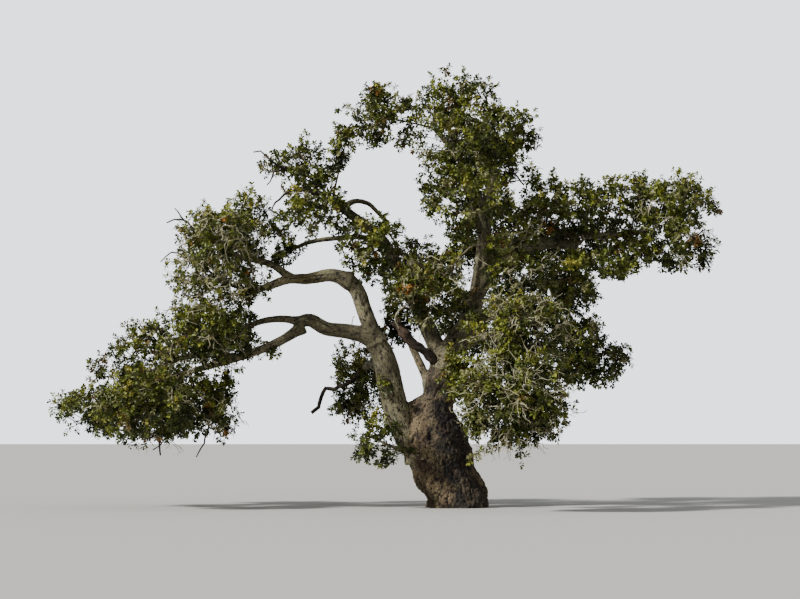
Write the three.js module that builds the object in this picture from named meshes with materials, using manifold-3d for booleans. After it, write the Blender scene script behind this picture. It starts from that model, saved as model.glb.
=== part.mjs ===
// A wide, leaning old oak at its real size, in millimetres: a burly trunk with a flat cut at ground level,
// the boughs that leave it, and the masses of leaves that they carry. +X is to the right of the tree's open
// side, +Y runs away from the viewer and +Z is up. The origin is the middle of the flat cut.
import * as THREE from "three";
import { mergeVertices } from "three/addons/utils/BufferGeometryUtils.js";
import Module from "manifold-3d";

const wasm = await Module();
wasm.setup();

// Driving dimensions
const METRE = 1000;
const JOINT_GAP = 0.4; // clear space between a limb and whatever grows from it
const OBSTACLE_GAP = 2; // a twig or leaf keeps this far from every other limb and mass
const TRUNK_SIDES = 18;
const TRUNK_STEPS = 15;
const BOUGH_SIDES = 6;
const STEP_LENGTH = 0.5 * METRE; // length of one straight piece of a bough
const STEM_SUNK = 60; // how far a stem starts inside the tip that it is then cut clear of
const STEM_ALONE = 0.8; // a stem's foot against the tip that it leaves
const STEM_SHARED = 0.42; // the same where several stems leave one tip
const STEM_BESIDE = 0.52; // how far from the tip's middle those start, as a share of its radius
const STEM_LEAD = 0.2; // share of the way to the middle of its mass that a stem keeps its bough's line
const STEM_BARE = 0.45; // share of a stem below its first twig
const STEM_LAST_TWIG = 0.95;
const TWIGS_PER_MASS = 7;
const TWIG_SHARE = 0.5; // a twig's foot against the stem where it leaves
const TWIG_TIP_RADIUS = 24;
const TWIG_BOW = 0.2; // how far a twig bends aside, as a share of its length
const TWIG_REACH = 0.98; // how far out in its space a twig ends, as a share of the way to the edge
const LEAF_LENGTH = 1.1 * METRE; // each leaf stands for a whole spray
const LEAF_VARIES = 0.3;
const LEAF_MOST_OF_TWIG = 0.6; // the leaf that ends a short twig is no more of it than this
const LEAF_WIDTH_SHARE = 0.66;
const LEAF_THICKNESS = 12;
const LEAF_WIDEST = 0.58; // where along its length a leaf is widest
const LEAF_FOLD = 0.1; // how far its sides rise, as a share of its length
const LEAF_FORWARD = 0.7; // how far a side leaf leans towards the end of its twig
const LEAF_TWIST = Math.PI;
const BLADE_LEVEL = 0.35; // the more, the nearer to level the blades lie
const SIDE_LEAVES = [
  { along: 0.4, hand: 1 },
  { along: 0.65, hand: -1 },
  { along: 0.9, hand: 1 },
];
const FLAT_WITHIN = 0.01; // corners this close to flat or to each other are joined
const SLIVER = 3; // the same where leaves and twigs cross
const FACE_TURN = Math.PI / 3; // from a twig's ridge to the middle of the face beside it
const GOLDEN_ANGLE = Math.PI * (3 - Math.sqrt(5));

const BARK = { color: 0x6b6152, roughness: 0.95, metalness: 0 };
const DEAD_WOOD = { color: 0x6e4a36, roughness: 0.95, metalness: 0 };
const FOLIAGE = { color: 0x4a5526, roughness: 0.8, metalness: 0 };

// The trunk's centre line in metres, each with the radius there: it narrows above the flare, swells into its
// burls, then draws in to a neck that forks.
const TRUNK = [
  { at: [0.0, 0.0, -0.2], radius: 0.82 },
  { at: [0.0, 0.0, 0.05], radius: 0.76 },
  { at: [-0.07, 0.0, 0.42], radius: 0.69 },
  { at: [-0.24, 0.02, 0.85], radius: 0.72 },
  { at: [-0.42, 0.02, 1.3], radius: 0.79 },
  { at: [-0.56, 0.0, 1.8], radius: 0.78 },
  { at: [-0.6, -0.02, 2.2], radius: 0.66 },
  { at: [-0.55, -0.02, 2.52], radius: 0.43 },
  { at: [-0.48, 0.0, 2.8], radius: 0.3 },
  { at: [-0.4, 0.0, 3.3], radius: 0.29 },
  { at: [-0.28, 0.02, 3.85], radius: 0.3 },
];
const FLARE_LOBES = 5; // root buttresses round the foot
const FLARE_SWELL = 0.09;
const FLARE_HEIGHT = 0.55 * METRE;
const BURL_HEIGHT = 1.75 * METRE;
const BURL_SWELL = 0.07;
const BURL_LOBES = 3;

// The boughs in metres: the limb that each leaves, the places it passes, and its radius at foot and tip.
const BOUGHS = {
  left_arm: {
    from: "trunk",
    path: [[-0.85, 0, 1.35], [-1.33, -0.12, 2.0], [-1.6, -0.22, 2.9], [-1.8, -0.3, 3.75], [-2.2, -0.35, 4.4]],
    foot: 0.38,
    tip: 0.25,
  },
  left_arm_rise: {
    from: "left_arm",
    path: [[-1.95, -0.32, 4.05], [-2.28, -0.3, 4.85], [-2.45, -0.3, 5.35], [-2.7, -0.32, 5.7]],
    foot: 0.22,
    tip: 0.18,
  },
  left_arm_reach: {
    from: "left_arm_rise",
    path: [[-2.62, -0.32, 5.62], [-3.1, -0.36, 5.78], [-3.7, -0.42, 5.68], [-4.2, -0.48, 5.66],
      [-4.75, -0.5, 5.46]],
    foot: 0.18,
    tip: 0.1,
  },
  left_low_arm: {
    from: "left_arm",
    path: [[-2.1, -0.33, 4.25], [-2.75, -0.34, 4.38], [-3.25, -0.34, 4.46], [-3.65, -0.32, 4.66],
      [-3.95, -0.3, 4.6]],
    foot: 0.2,
    tip: 0.15,
  },
  left_low_upper: {
    from: "left_low_arm",
    path: [[-3.85, -0.3, 4.62], [-4.4, -0.1, 4.7], [-4.95, 0.0, 4.62], [-5.35, 0.05, 4.42]],
    foot: 0.1,
    tip: 0.07,
  },
  left_low_lower: {
    from: "left_low_arm",
    path: [[-3.8, -0.3, 4.5], [-4.4, -0.4, 4.12], [-5.1, -0.3, 3.84], [-5.9, -0.1, 3.6], [-6.55, 0.0, 3.42]],
    foot: 0.13,
    tip: 0.08,
  },
  left_runner: {
    from: "left_low_lower",
    path: [[-5.6, -0.2, 3.72], [-6.2, 0.1, 3.82], [-6.9, 0.15, 3.72], [-7.6, 0.1, 3.4]],
    foot: 0.08,
    tip: 0.06,
  },
  left_high: {
    from: "left_arm_reach",
    path: [[-4.1, -0.45, 5.68], [-4.6, -0.25, 6.05], [-5.15, 0.0, 6.2], [-5.55, 0.05, 6.3]],
    foot: 0.1,
    tip: 0.07,
  },
  back_sweep: {
    from: "trunk",
    path: [[-0.35, 0.05, 3.7], [-0.75, 0.5, 4.6], [-1.3, 0.85, 5.7], [-1.85, 0.95, 6.75], [-2.6, 0.75, 7.35],
      [-3.15, 0.45, 7.75]],
    foot: 0.23,
    tip: 0.1,
  },
  inner_left: {
    from: "back_sweep",
    path: [[-1.45, 0.87, 6.05], [-1.62, 0.65, 6.5], [-1.75, 0.4, 6.7]],
    foot: 0.1,
    tip: 0.07,
  },
  middle_stem: {
    from: "trunk",
    path: [[-0.3, 0.0, 3.7], [0.3, 0.08, 4.65], [0.55, 0.12, 5.45], [0.7, 0.1, 6.4], [0.76, 0.04, 7.4],
      [0.9, 0.12, 8.05]],
    foot: 0.27,
    tip: 0.14,
  },
  top_left_stem: {
    from: "middle_stem",
    path: [[0.74, 0.0, 7.25], [0.45, -0.12, 8.0], [0.0, -0.14, 8.85], [-0.5, -0.1, 9.45]],
    foot: 0.12,
    tip: 0.07,
  },
  front_high: {
    from: "middle_stem",
    path: [[0.72, 0.08, 6.65], [0.5, -0.5, 7.15], [0.28, -1.05, 7.75], [0.15, -1.25, 8.15]],
    foot: 0.11,
    tip: 0.06,
  },
  back_high: {
    from: "middle_stem",
    path: [[0.66, 0.12, 6.0], [0.9, 0.8, 6.35], [1.3, 1.5, 6.65], [1.6, 1.95, 6.85]],
    foot: 0.13,
    tip: 0.07,
  },
  right_arm: {
    from: "middle_stem",
    path: [[0.56, 0.12, 5.5], [1.15, 0.0, 6.1], [1.75, -0.1, 6.45], [2.35, -0.15, 6.6], [3.0, -0.15, 6.52]],
    foot: 0.18,
    tip: 0.12,
  },
  right_arm_out: {
    from: "right_arm",
    path: [[2.3, -0.14, 6.6], [2.95, 0.12, 6.86], [3.8, 0.15, 6.8], [4.7, 0.05, 6.9]],
    foot: 0.1,
    tip: 0.07,
  },
  low_front: {
    from: "middle_stem",
    path: [[0.42, 0.1, 5.0], [0.5, -0.55, 5.55], [0.55, -1.1, 6.05], [0.6, -1.4, 6.3]],
    foot: 0.1,
    tip: 0.06,
  },
  front_right: {
    from: "trunk",
    path: [[-0.35, 0.0, 3.5], [0.1, -0.75, 3.95], [0.65, -1.6, 4.2], [1.1, -2.35, 3.95], [1.4, -2.85, 3.4]],
    foot: 0.17,
    tip: 0.08,
  },
  back_right: {
    from: "middle_stem",
    path: [[0.15, 0.06, 4.4], [0.9, 0.7, 4.85], [1.75, 1.25, 4.9], [2.45, 1.6, 4.7]],
    foot: 0.15,
    tip: 0.08,
  },
  back_left: {
    from: "left_arm",
    path: [[-1.72, -0.25, 3.3], [-2.0, 0.6, 3.55], [-2.2, 1.6, 3.6], [-2.35, 2.5, 3.5]],
    foot: 0.16,
    tip: 0.08,
  },
  back_low: {
    from: "trunk",
    path: [[-0.38, 0.0, 3.2], [-0.1, 0.9, 3.9], [0.25, 1.9, 4.4], [0.55, 2.75, 4.65]],
    foot: 0.17,
    tip: 0.09,
  },
  dead_snag: {
    from: "trunk",
    path: [[-0.38, -0.05, 3.45], [-0.75, -0.3, 3.85], [-1.15, -0.4, 4.15], [-1.42, -0.42, 4.5]],
    foot: 0.13,
    tip: 0.07,
    wood: DEAD_WOOD,
  },
};

// Where a low sprig leaves the trunk.
const SPRIG_FOOT = { at: [-0.8, -0.55, 1.25], towards: [-0.75, -0.65, 0.1], radius: 0.09 };

// The masses of leaves in metres: the limb whose tip carries each, the middle of its space, and the space's
// half width, half depth and half height.
const MASSES = {
  far_left_tip: { on: "left_runner", middle: [-9.0, -0.25, 2.4], half: [1.2, 1.2, 0.7] },
  left_shelf: { on: "left_runner", middle: [-8.1, 0.45, 3.75], half: [1.15, 1.3, 0.8] },
  left_low_front: { on: "left_low_lower", middle: [-7.55, -1.75, 2.5], half: [1.3, 1.4, 1.0] },
  left_low_back: { on: "left_low_lower", middle: [-7.3, 1.7, 2.7], half: [1.4, 1.4, 1.0] },
  left_skirt: { on: "left_low_lower", middle: [-6.2, 0.0, 2.55], half: [1.0, 1.2, 0.95] },
  left_mid_front: { on: "left_low_upper", middle: [-6.35, -1.2, 4.25], half: [1.2, 1.2, 0.85] },
  left_mid_back: { on: "left_low_upper", middle: [-5.9, 1.35, 4.35], half: [1.25, 1.25, 0.85] },
  left_flank: { on: "left_arm_reach", middle: [-6.0, -0.4, 5.65], half: [1.2, 1.3, 0.9] },
  left_shoulder_front: { on: "left_high", middle: [-5.9, -1.15, 6.7], half: [1.05, 1.2, 0.85] },
  left_shoulder_back: { on: "left_high", middle: [-5.9, 1.3, 6.6], half: [1.15, 1.3, 0.9] },
  left_inner: { on: "left_high", middle: [-5.0, -0.2, 7.1], half: [0.85, 1.2, 0.85] },
  left_crest: { on: "back_sweep", middle: [-3.8, 0.5, 8.45], half: [1.1, 1.2, 0.85] },
  left_crest_low: { on: "back_sweep", middle: [-3.75, -0.9, 7.3], half: [0.95, 1.1, 0.7] },
  inner_left_front: { on: "inner_left", middle: [-2.1, -1.0, 6.35], half: [1.0, 1.0, 0.85] },
  inner_left_back: { on: "inner_left", middle: [-1.0, 2.2, 6.05], half: [1.1, 1.3, 0.85] },
  top_left: { on: "top_left_stem", middle: [-1.75, -0.3, 9.75], half: [1.1, 1.15, 0.9] },
  crown_top: { on: "top_left_stem", middle: [-0.05, 0.1, 10.1], half: [1.0, 1.1, 0.9] },
  top_right: { on: "middle_stem", middle: [1.05, 0.1, 9.35], half: [1.1, 1.2, 0.95] },
  top_back: { on: "middle_stem", middle: [0.6, 2.2, 8.95], half: [1.3, 1.3, 0.95] },
  top_front: { on: "front_high", middle: [0.0, -1.7, 8.95], half: [1.2, 1.1, 0.85] },
  column_front: { on: "front_high", middle: [0.3, -2.35, 7.4], half: [1.1, 1.2, 0.95] },
  column_back: { on: "back_high", middle: [1.1, 3.0, 7.1], half: [1.3, 1.3, 0.95] },
  column_low: { on: "low_front", middle: [-0.65, -1.4, 5.35], half: [1.1, 1.1, 0.95] },
  column_right: { on: "low_front", middle: [1.4, -2.0, 6.0], half: [1.0, 1.2, 0.9] },
  right_near: { on: "right_arm", middle: [2.6, -0.7, 7.4], half: [1.25, 1.3, 0.8] },
  right_low_front: { on: "right_arm", middle: [3.15, -1.4, 5.8], half: [1.3, 1.2, 0.75] },
  right_mid: { on: "right_arm_out", middle: [4.45, 0.8, 7.6], half: [1.2, 1.3, 0.9] },
  right_end: { on: "right_arm_out", middle: [5.6, -0.2, 7.2], half: [1.1, 1.3, 1.25] },
  right_end_low: { on: "right_arm_out", middle: [4.75, 0.1, 6.4], half: [1.3, 1.2, 0.6] },
  right_back: { on: "back_high", middle: [3.0, 2.1, 6.9], half: [1.3, 1.35, 0.9] },
  right_low_back: { on: "back_right", middle: [2.5, 1.9, 5.45], half: [1.3, 1.3, 0.8] },
  back_right_low: { on: "back_right", middle: [3.4, 1.6, 3.95], half: [1.15, 1.4, 1.0] },
  front_right_high: { on: "front_right", middle: [1.46, -2.86, 4.36], half: [1.3, 1.25, 0.85] },
  front_right_low: { on: "front_right", middle: [1.3, -3.5, 2.65], half: [1.4, 1.35, 1.3] },
  back_left_mass: { on: "back_left", middle: [-2.5, 3.3, 3.2], half: [1.1, 1.35, 1.15] },
  back_low_mass: { on: "back_low", middle: [0.8, 4.0, 4.8], half: [1.35, 1.35, 0.95] },
  trunk_sprig: { on: "trunk", foot: SPRIG_FOOT, middle: [-2.0, -0.95, 1.7], half: [0.7, 0.75, 0.75] },
};

const vector = (point) => new THREE.Vector3(...point).multiplyScalar(METRE);

// A closed geometry as a solid, and a solid as a geometry.
function solidOf(geometry) {
  const bare = geometry.clone();
  bare.deleteAttribute("normal");
  bare.deleteAttribute("uv");
  const merged = mergeVertices(bare, 1e-3);
  const mesh = new wasm.Mesh({
    numProp: 3,
    vertProperties: new Float32Array(merged.attributes.position.array),
    triVerts: new Uint32Array(merged.index.array),
  });
  return new wasm.Manifold(mesh);
}

function geometryOf(solid) {
  const mesh = solid.getMesh();
  const geometry = new THREE.BufferGeometry();
  geometry.setAttribute("position", new THREE.BufferAttribute(new Float32Array(mesh.vertProperties), 3));
  geometry.setIndex(new THREE.BufferAttribute(new Uint32Array(mesh.triVerts), 1));
  geometry.computeVertexNormals();
  return geometry;
}

const largest = (solid) => solid.decompose().sort((a, b) => b.volume() - a.volume())[0];

// Numbers from 0 to 1, the same for the same seed.
function seededRandom(seed) {
  let state = seed >>> 0;
  return () => {
    state = (state + 0x6d2b79f5) >>> 0;
    let mixed = state;
    mixed = Math.imul(mixed ^ (mixed >>> 15), mixed | 1);
    mixed ^= mixed + Math.imul(mixed ^ (mixed >>> 7), mixed | 61);
    return ((mixed ^ (mixed >>> 14)) >>> 0) / 4294967296;
  };
}

// A closed limb along a curve. radiusAt(share, angle, place) gives its radius, and lengthen moves its tip on.
function limbGeometry(curve, sides, steps, radiusAt, lengthen = 0) {
  const frames = curve.computeFrenetFrames(steps, false);
  const geometry = new THREE.CylinderGeometry(1, 1, 1, sides, steps);
  const position = geometry.attributes.position;
  for (let i = 0; i < position.count; i++) {
    const step = Math.round((position.getY(i) + 0.5) * steps);
    const share = step / steps;
    const place = curve.getPointAt(share);
    const across = position.getX(i);
    const back = position.getZ(i);
    const onAxis = across * across + back * back < 0.25;
    const radius = onAxis ? 0 : radiusAt(share, Math.atan2(back, across), place);
    const point = place
      .clone()
      .addScaledVector(frames.normals[step], across * radius)
      .addScaledVector(frames.binormals[step], -back * radius);
    if (step === steps) point.addScaledVector(frames.tangents[step], lengthen);
    position.setXYZ(i, point.x, point.y, point.z);
  }
  return geometry;
}

// The trunk swells into buttresses at its foot and a burl below its fork.
function trunkSolid(grow) {
  const curve = new THREE.CatmullRomCurve3(TRUNK.map(({ at }) => vector(at)));
  const heights = TRUNK.map(({ at }) => at[2] * METRE);
  const radii = TRUNK.map(({ radius }) => radius * METRE);
  const radiusAt = (share, angle, place) => {
    const above = heights.findIndex((height) => height >= place.z);
    const top = above < 0 ? heights.length - 1 : Math.max(above, 1);
    const mix = (place.z - heights[top - 1]) / (heights[top] - heights[top - 1]);
    const plain = THREE.MathUtils.lerp(radii[top - 1], radii[top], Math.min(mix, 1));
    const low = Math.exp(-Math.max(place.z, 0) / FLARE_HEIGHT);
    const level = Math.exp(-(((place.z - BURL_HEIGHT) / FLARE_HEIGHT) ** 2));
    const flare = low * FLARE_SWELL * Math.cos(FLARE_LOBES * angle);
    const burl = level * BURL_SWELL * Math.sin(BURL_LOBES * angle);
    return plain * (1 + flare + burl) + grow;
  };
  const whole = solidOf(limbGeometry(curve, TRUNK_SIDES, TRUNK_STEPS, radiusAt, grow));
  return whole.trimByPlane([0, 0, 1], grow ? -METRE : 0);
}

const boughCurve = ({ path }) => new THREE.CatmullRomCurve3(path.map(vector));

function boughSolid(bough, grow) {
  const curve = boughCurve(bough);
  const steps = Math.max(3, Math.round(curve.getLength() / STEP_LENGTH));
  const radiusAt = (share) => THREE.MathUtils.lerp(bough.foot, bough.tip, share) * METRE + grow;
  return solidOf(limbGeometry(curve, BOUGH_SIDES, steps, radiusAt, grow));
}

// Every limb, each cut clear of the ones made before it, with the slightly larger shape that cuts the next.
function makeLimbs() {
  const limbs = { trunk: { solid: trunkSolid(0), cutter: trunkSolid(JOINT_GAP) } };
  for (const [name, bough] of Object.entries(BOUGHS)) {
    const before = Object.values(limbs).map(({ cutter }) => cutter);
    const solid = largest(before.reduce((rest, cutter) => rest.subtract(cutter), boughSolid(bough, 0)));
    limbs[name] = { solid, cutter: boughSolid(bough, JOINT_GAP) };
  }
  return limbs;
}

// The ways along, across and out of a three-sided twig at a share of its length; up picks its ridge's side.
function waysAt(curve, share, up) {
  const run = curve.getTangentAt(share);
  const side = new THREE.Vector3().crossVectors(run, up).normalize();
  return { place: curve.getPointAt(share), run, side, rise: new THREE.Vector3().crossVectors(side, run) };
}

// A three-sided twig through a few points that ends in a leaf: its last rings spread into a blade and close.
function twigSolid(points, foot, leafReach, up) {
  const curve = new THREE.CatmullRomCurve3(points);
  const leaf = Math.min(leafReach / curve.getLength(), LEAF_MOST_OF_TWIG);
  const rings = points.map((_, n) => {
    const share = n / (points.length - 1);
    const radius = THREE.MathUtils.lerp(foot, TWIG_TIP_RADIUS, share);
    return { share: share * (1 - leaf), across: radius, through: radius };
  });
  const wide = LEAF_WIDTH_SHARE * leaf * curve.getLength() * Math.tan(Math.PI / 6);
  rings.push({ share: 1 - leaf * (1 - LEAF_WIDEST), across: wide, through: LEAF_THICKNESS });
  rings.push({ share: 1, across: LEAF_THICKNESS, through: LEAF_THICKNESS / 2 });
  const steps = rings.length - 1;
  const geometry = new THREE.CylinderGeometry(1, 1, 1, 3, steps);
  const position = geometry.attributes.position;
  for (let i = 0; i < position.count; i++) {
    const ring = rings[Math.round((position.getY(i) + 0.5) * steps)];
    const { place, side, rise } = waysAt(curve, ring.share, up);
    place.addScaledVector(side, position.getX(i) * ring.across);
    place.addScaledVector(rise, position.getZ(i) * ring.through);
    position.setXYZ(i, place.x, place.y, place.z);
  }
  return { curve, bare: 1 - leaf, solid: solidOf(geometry).simplify(FLAT_WITHIN) };
}

const leafLength = (random) => LEAF_LENGTH * (1 + LEAF_VARIES * (random() - 0.5));

// A side leaf of eight faces, standing for a spray: a folded blade, as thick at its root as at its tip.
function leafSolid(root, along, across, length) {
  const up = new THREE.Vector3().crossVectors(across, along);
  const pointAt = (share, aside, rise) =>
    root
      .clone()
      .addScaledVector(along, share * length)
      .addScaledVector(across, aside * length)
      .addScaledVector(up, rise);
  const half = LEAF_THICKNESS / 2;
  const wide = LEAF_WIDTH_SHARE / 2;
  const places = {
    "1,0,0": pointAt(LEAF_WIDEST, wide, LEAF_FOLD * length),
    "-1,0,0": pointAt(LEAF_WIDEST, -wide, LEAF_FOLD * length),
    "0,1,0": pointAt(1, 0, half),
    "0,-1,0": pointAt(0, 0, -half),
    "0,0,1": pointAt(0, 0, half),
    "0,0,-1": pointAt(1, 0, -half),
  };
  const geometry = new THREE.OctahedronGeometry(1, 0);
  const position = geometry.attributes.position;
  for (let i = 0; i < position.count; i++) {
    const corner = [position.getX(i), position.getY(i), position.getZ(i)];
    const key = corner.map((value) => Math.round(value) + 0).join(",");
    const { x, y, z } = places[key];
    position.setXYZ(i, x, y, z);
  }
  return { solid: solidOf(geometry), corners: ["1,0,0", "-1,0,0", "0,1,0"].map((key) => places[key]) };
}

// The space of each mass: inside its own ellipsoid, and on its own side of the plane to each other mass.
function spaceOf(name) {
  const own = MASSES[name];
  const middle = vector(own.middle);
  const half = vector(own.half);
  const reach = (shape, direction) =>
    1 / Math.hypot(direction.x / shape.x, direction.y / shape.y, direction.z / shape.z);
  const walls = Object.entries(MASSES)
    .filter(([other]) => other !== name)
    .map(([, other]) => {
      const away = vector(other.middle).sub(middle);
      const direction = away.clone().normalize();
      const mine = reach(half, direction);
      const theirs = reach(vector(other.half), direction);
      return { direction, limit: (away.length() * mine) / (mine + theirs) - OBSTACLE_GAP };
    });
  const holds = (point) => {
    const offset = point.clone().sub(middle);
    const inside = Math.hypot(offset.x / half.x, offset.y / half.y, offset.z / half.z) <= 1;
    return inside && walls.every(({ direction, limit }) => offset.dot(direction) < limit);
  };
  return { middle, half, reach, holds };
}

// Where a mass's stem starts: the tip of its bough, or its own place on the trunk.
function seatOf({ on, foot }) {
  if (foot) {
    const direction = new THREE.Vector3(...foot.towards).normalize();
    return { place: vector(foot.at), direction, radius: foot.radius * METRE };
  }
  const curve = boughCurve(BOUGHS[on]);
  return { place: curve.getPointAt(1), direction: curve.getTangentAt(1), radius: BOUGHS[on].tip * METRE };
}

// The stem of each mass starts in its bough's tip, beside the other stems of that tip, and runs through the
// middle of the mass's space.
function stemOf(name) {
  const { on } = MASSES[name];
  const tip = seatOf(MASSES[name]);
  const { middle, half, reach } = spaceOf(name);
  const sharing = Object.keys(MASSES).filter((other) => MASSES[other].on === on);
  const mean = sharing
    .reduce((sum, other) => sum.add(vector(MASSES[other].middle)), new THREE.Vector3())
    .divideScalar(sharing.length);
  const alone = sharing.length === 1;
  const beside = middle.clone().sub(mean).projectOnPlane(tip.direction);
  beside.setLength(alone ? 0 : tip.radius * STEM_BESIDE);
  const start = tip.place.clone().add(beside);
  const heading = middle.clone().sub(start).normalize();
  const lead = tip.direction.clone().add(beside.clone().divideScalar(tip.radius)).normalize();
  const led = start.clone().addScaledVector(lead, STEM_LEAD * start.distanceTo(middle));
  const points = [
    start.clone().addScaledVector(tip.direction, -STEM_SUNK),
    start.clone().addScaledVector(tip.direction, STEM_SUNK),
    led.addScaledVector(heading, STEM_SUNK),
    middle.clone(),
    middle.clone().addScaledVector(heading, reach(half, heading) * TWIG_REACH),
  ];
  const foot = tip.radius * (alone ? STEM_ALONE : STEM_SHARED);
  return { foot, ...twigSolid(points, foot, LEAF_LENGTH, new THREE.Vector3(0, 0, 1)) };
}

// One mass: its stem, twigs set out evenly round its space that each end in a leaf, and leaves at their
// sides. A twig or leaf that would leave the space, or come near an obstacle, is left out.
function massPieces(name, seed, stem, obstacles) {
  const random = seededRandom(seed);
  const { middle, half, reach, holds } = spaceOf(name);
  const heading = stem.curve.getTangentAt(1);
  const spin = random() * Math.PI * 2;
  const clear = (solid) => obstacles.every((other) => solid.minGap(other, OBSTACLE_GAP) >= OBSTACLE_GAP);
  const kept = [stem.solid];
  for (let k = 0; k < TWIGS_PER_MASS; k++) {
    const level = 1 - (2 * (k + 0.5)) / TWIGS_PER_MASS;
    const turn = spin + k * GOLDEN_ANGLE;
    const flat = Math.sqrt(1 - level * level);
    const outward = new THREE.Vector3(flat * Math.cos(turn), flat * Math.sin(turn), level);
    const end = middle.clone().addScaledVector(outward, reach(half, outward) * TWIG_REACH);
    const leave = THREE.MathUtils.lerp(STEM_BARE, STEM_LAST_TWIG, (outward.dot(heading) + 1) / 2) * stem.bare;
    const foot = stem.curve.getPointAt(leave);
    const bow = new THREE.Vector3(random() - 0.5, random() - 0.5, random());
    const bend = foot.clone().lerp(end, 0.5).addScaledVector(bow, TWIG_BOW * foot.distanceTo(end));
    const footRadius = THREE.MathUtils.lerp(stem.foot, TWIG_TIP_RADIUS, leave / stem.bare) * TWIG_SHARE;
    const up = new THREE.Vector3(random() - 0.5, random() - 0.5, BLADE_LEVEL).normalize();
    const twig = twigSolid([foot, bend, end], footRadius, leafLength(random), up);
    const leaves = SIDE_LEAVES.map(({ along, hand }) => {
      const { place, run, side, rise } = waysAt(twig.curve, along * twig.bare, up);
      const out = side.multiplyScalar(hand * Math.sin(FACE_TURN)).addScaledVector(rise, Math.cos(FACE_TURN));
      out.addScaledVector(run, LEAF_FORWARD).normalize();
      const across = new THREE.Vector3().crossVectors(out, run).normalize();
      across.applyAxisAngle(out, (random() - 0.5) * LEAF_TWIST);
      return leafSolid(place, out, across, leafLength(random));
    });
    if (!holds(end) || !clear(twig.solid)) continue;
    for (const { solid, corners } of leaves) {
      const open = kept.every((other) => solid.minGap(other, OBSTACLE_GAP) > 0);
      if (open && corners.every(holds) && clear(solid)) kept.push(solid);
    }
    kept.push(twig.solid);
  }
  return kept;
}

function makeMasses(limbs) {
  const limbSolids = Object.values(limbs).map(({ solid }) => solid);
  const stems = Object.fromEntries(Object.keys(MASSES).map((name) => [name, stemOf(name)]));
  const masses = {};
  Object.entries(MASSES).forEach(([name, { on }], index) => {
    const others = Object.keys(stems).filter((other) => other !== name);
    const otherStems = others.map((other) => stems[other].solid);
    const obstacles = [...limbSolids, ...otherStems, ...Object.values(masses)];
    const pieces = massPieces(name, index + 1, stems[name], obstacles);
    const joined = wasm.Manifold.union(pieces).simplify(SLIVER);
    masses[name] = largest(joined.subtract(limbs[on].cutter)).simplify(FLAT_WITHIN);
  });
  return masses;
}

function named(name, solid, look) {
  const mesh = new THREE.Mesh(geometryOf(solid), new THREE.MeshStandardMaterial(look));
  mesh.name = name;
  return mesh;
}

const oak = new THREE.Group();
const limbs = makeLimbs();
for (const [name, { solid }] of Object.entries(limbs)) {
  oak.add(named(name, solid, BOUGHS[name]?.wood ?? BARK));
}
for (const [name, solid] of Object.entries(makeMasses(limbs))) {
  oak.add(named(name, solid, FOLIAGE));
}

export default oak;
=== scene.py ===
"""A wide, leaning old oak: burly trunk, furrowed boughs and masses of small leaves, dressed round its solids.

Everything is in metres, with +X to the right of the tree's open side, +Y away from the viewer and +Z up. The
origin is the middle of the flat cut at ground level.
"""
import sys

import logging
import math
from collections.abc import Callable, Iterable, Mapping, Sequence
from dataclasses import dataclass, field
from enum import Enum
from functools import cached_property

import bmesh
import bpy
import numpy as np
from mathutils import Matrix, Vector, noise


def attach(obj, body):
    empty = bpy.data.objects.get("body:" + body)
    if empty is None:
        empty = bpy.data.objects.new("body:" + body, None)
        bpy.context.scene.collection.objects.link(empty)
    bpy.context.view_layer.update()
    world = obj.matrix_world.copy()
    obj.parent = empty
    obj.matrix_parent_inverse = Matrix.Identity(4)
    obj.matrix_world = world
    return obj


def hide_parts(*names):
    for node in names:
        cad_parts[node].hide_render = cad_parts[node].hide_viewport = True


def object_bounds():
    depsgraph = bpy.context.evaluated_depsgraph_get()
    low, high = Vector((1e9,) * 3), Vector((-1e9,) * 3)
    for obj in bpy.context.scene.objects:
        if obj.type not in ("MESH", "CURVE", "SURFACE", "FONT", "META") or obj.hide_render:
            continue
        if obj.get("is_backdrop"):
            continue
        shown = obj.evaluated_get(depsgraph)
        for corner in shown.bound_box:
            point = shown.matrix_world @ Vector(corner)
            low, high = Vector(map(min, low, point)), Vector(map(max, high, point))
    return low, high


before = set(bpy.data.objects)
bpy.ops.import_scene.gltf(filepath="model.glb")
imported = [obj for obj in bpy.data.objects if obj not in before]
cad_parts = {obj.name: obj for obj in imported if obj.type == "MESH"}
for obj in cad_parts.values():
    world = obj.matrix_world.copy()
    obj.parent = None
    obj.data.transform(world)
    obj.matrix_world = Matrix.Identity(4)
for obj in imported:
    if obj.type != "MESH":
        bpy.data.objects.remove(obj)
CAD_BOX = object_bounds()

log = logging.getLogger("oak")

Place = tuple[float, float, float]
Band = tuple[float, float]
RadiusRule = Callable[[np.ndarray, np.ndarray], np.ndarray]
SwellRule = Callable[[np.ndarray, np.ndarray], np.ndarray]
GOLDEN_ANGLE = math.pi * (3 - math.sqrt(5))
UP = np.array([0.0, 0.0, 1.0])
NEARLY_UP = UP + 0.01
ASKEW = np.array([0.31, 0.95, 0.05])
TINY = 1e-12
FEWEST_STEPS = 4
# How far a bare twig may stand out of the box that holds the solids.
SOLIDS_MARGIN = 0.1
# How far a crooked twig strays for its length, and how soon it does.
KINK = 0.07
KINK_GROWS = 4
BODY = "root"


def unit(vector: np.ndarray) -> np.ndarray:
    """Give the vector or vectors a length of one."""
    return vector / np.maximum(np.linalg.norm(vector, axis=-1, keepdims=True), TINY)


def blend(first: float, last: float, share: float) -> float:
    """Give the value that lies a share of the way from first to last."""
    return first + (last - first) * share


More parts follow.
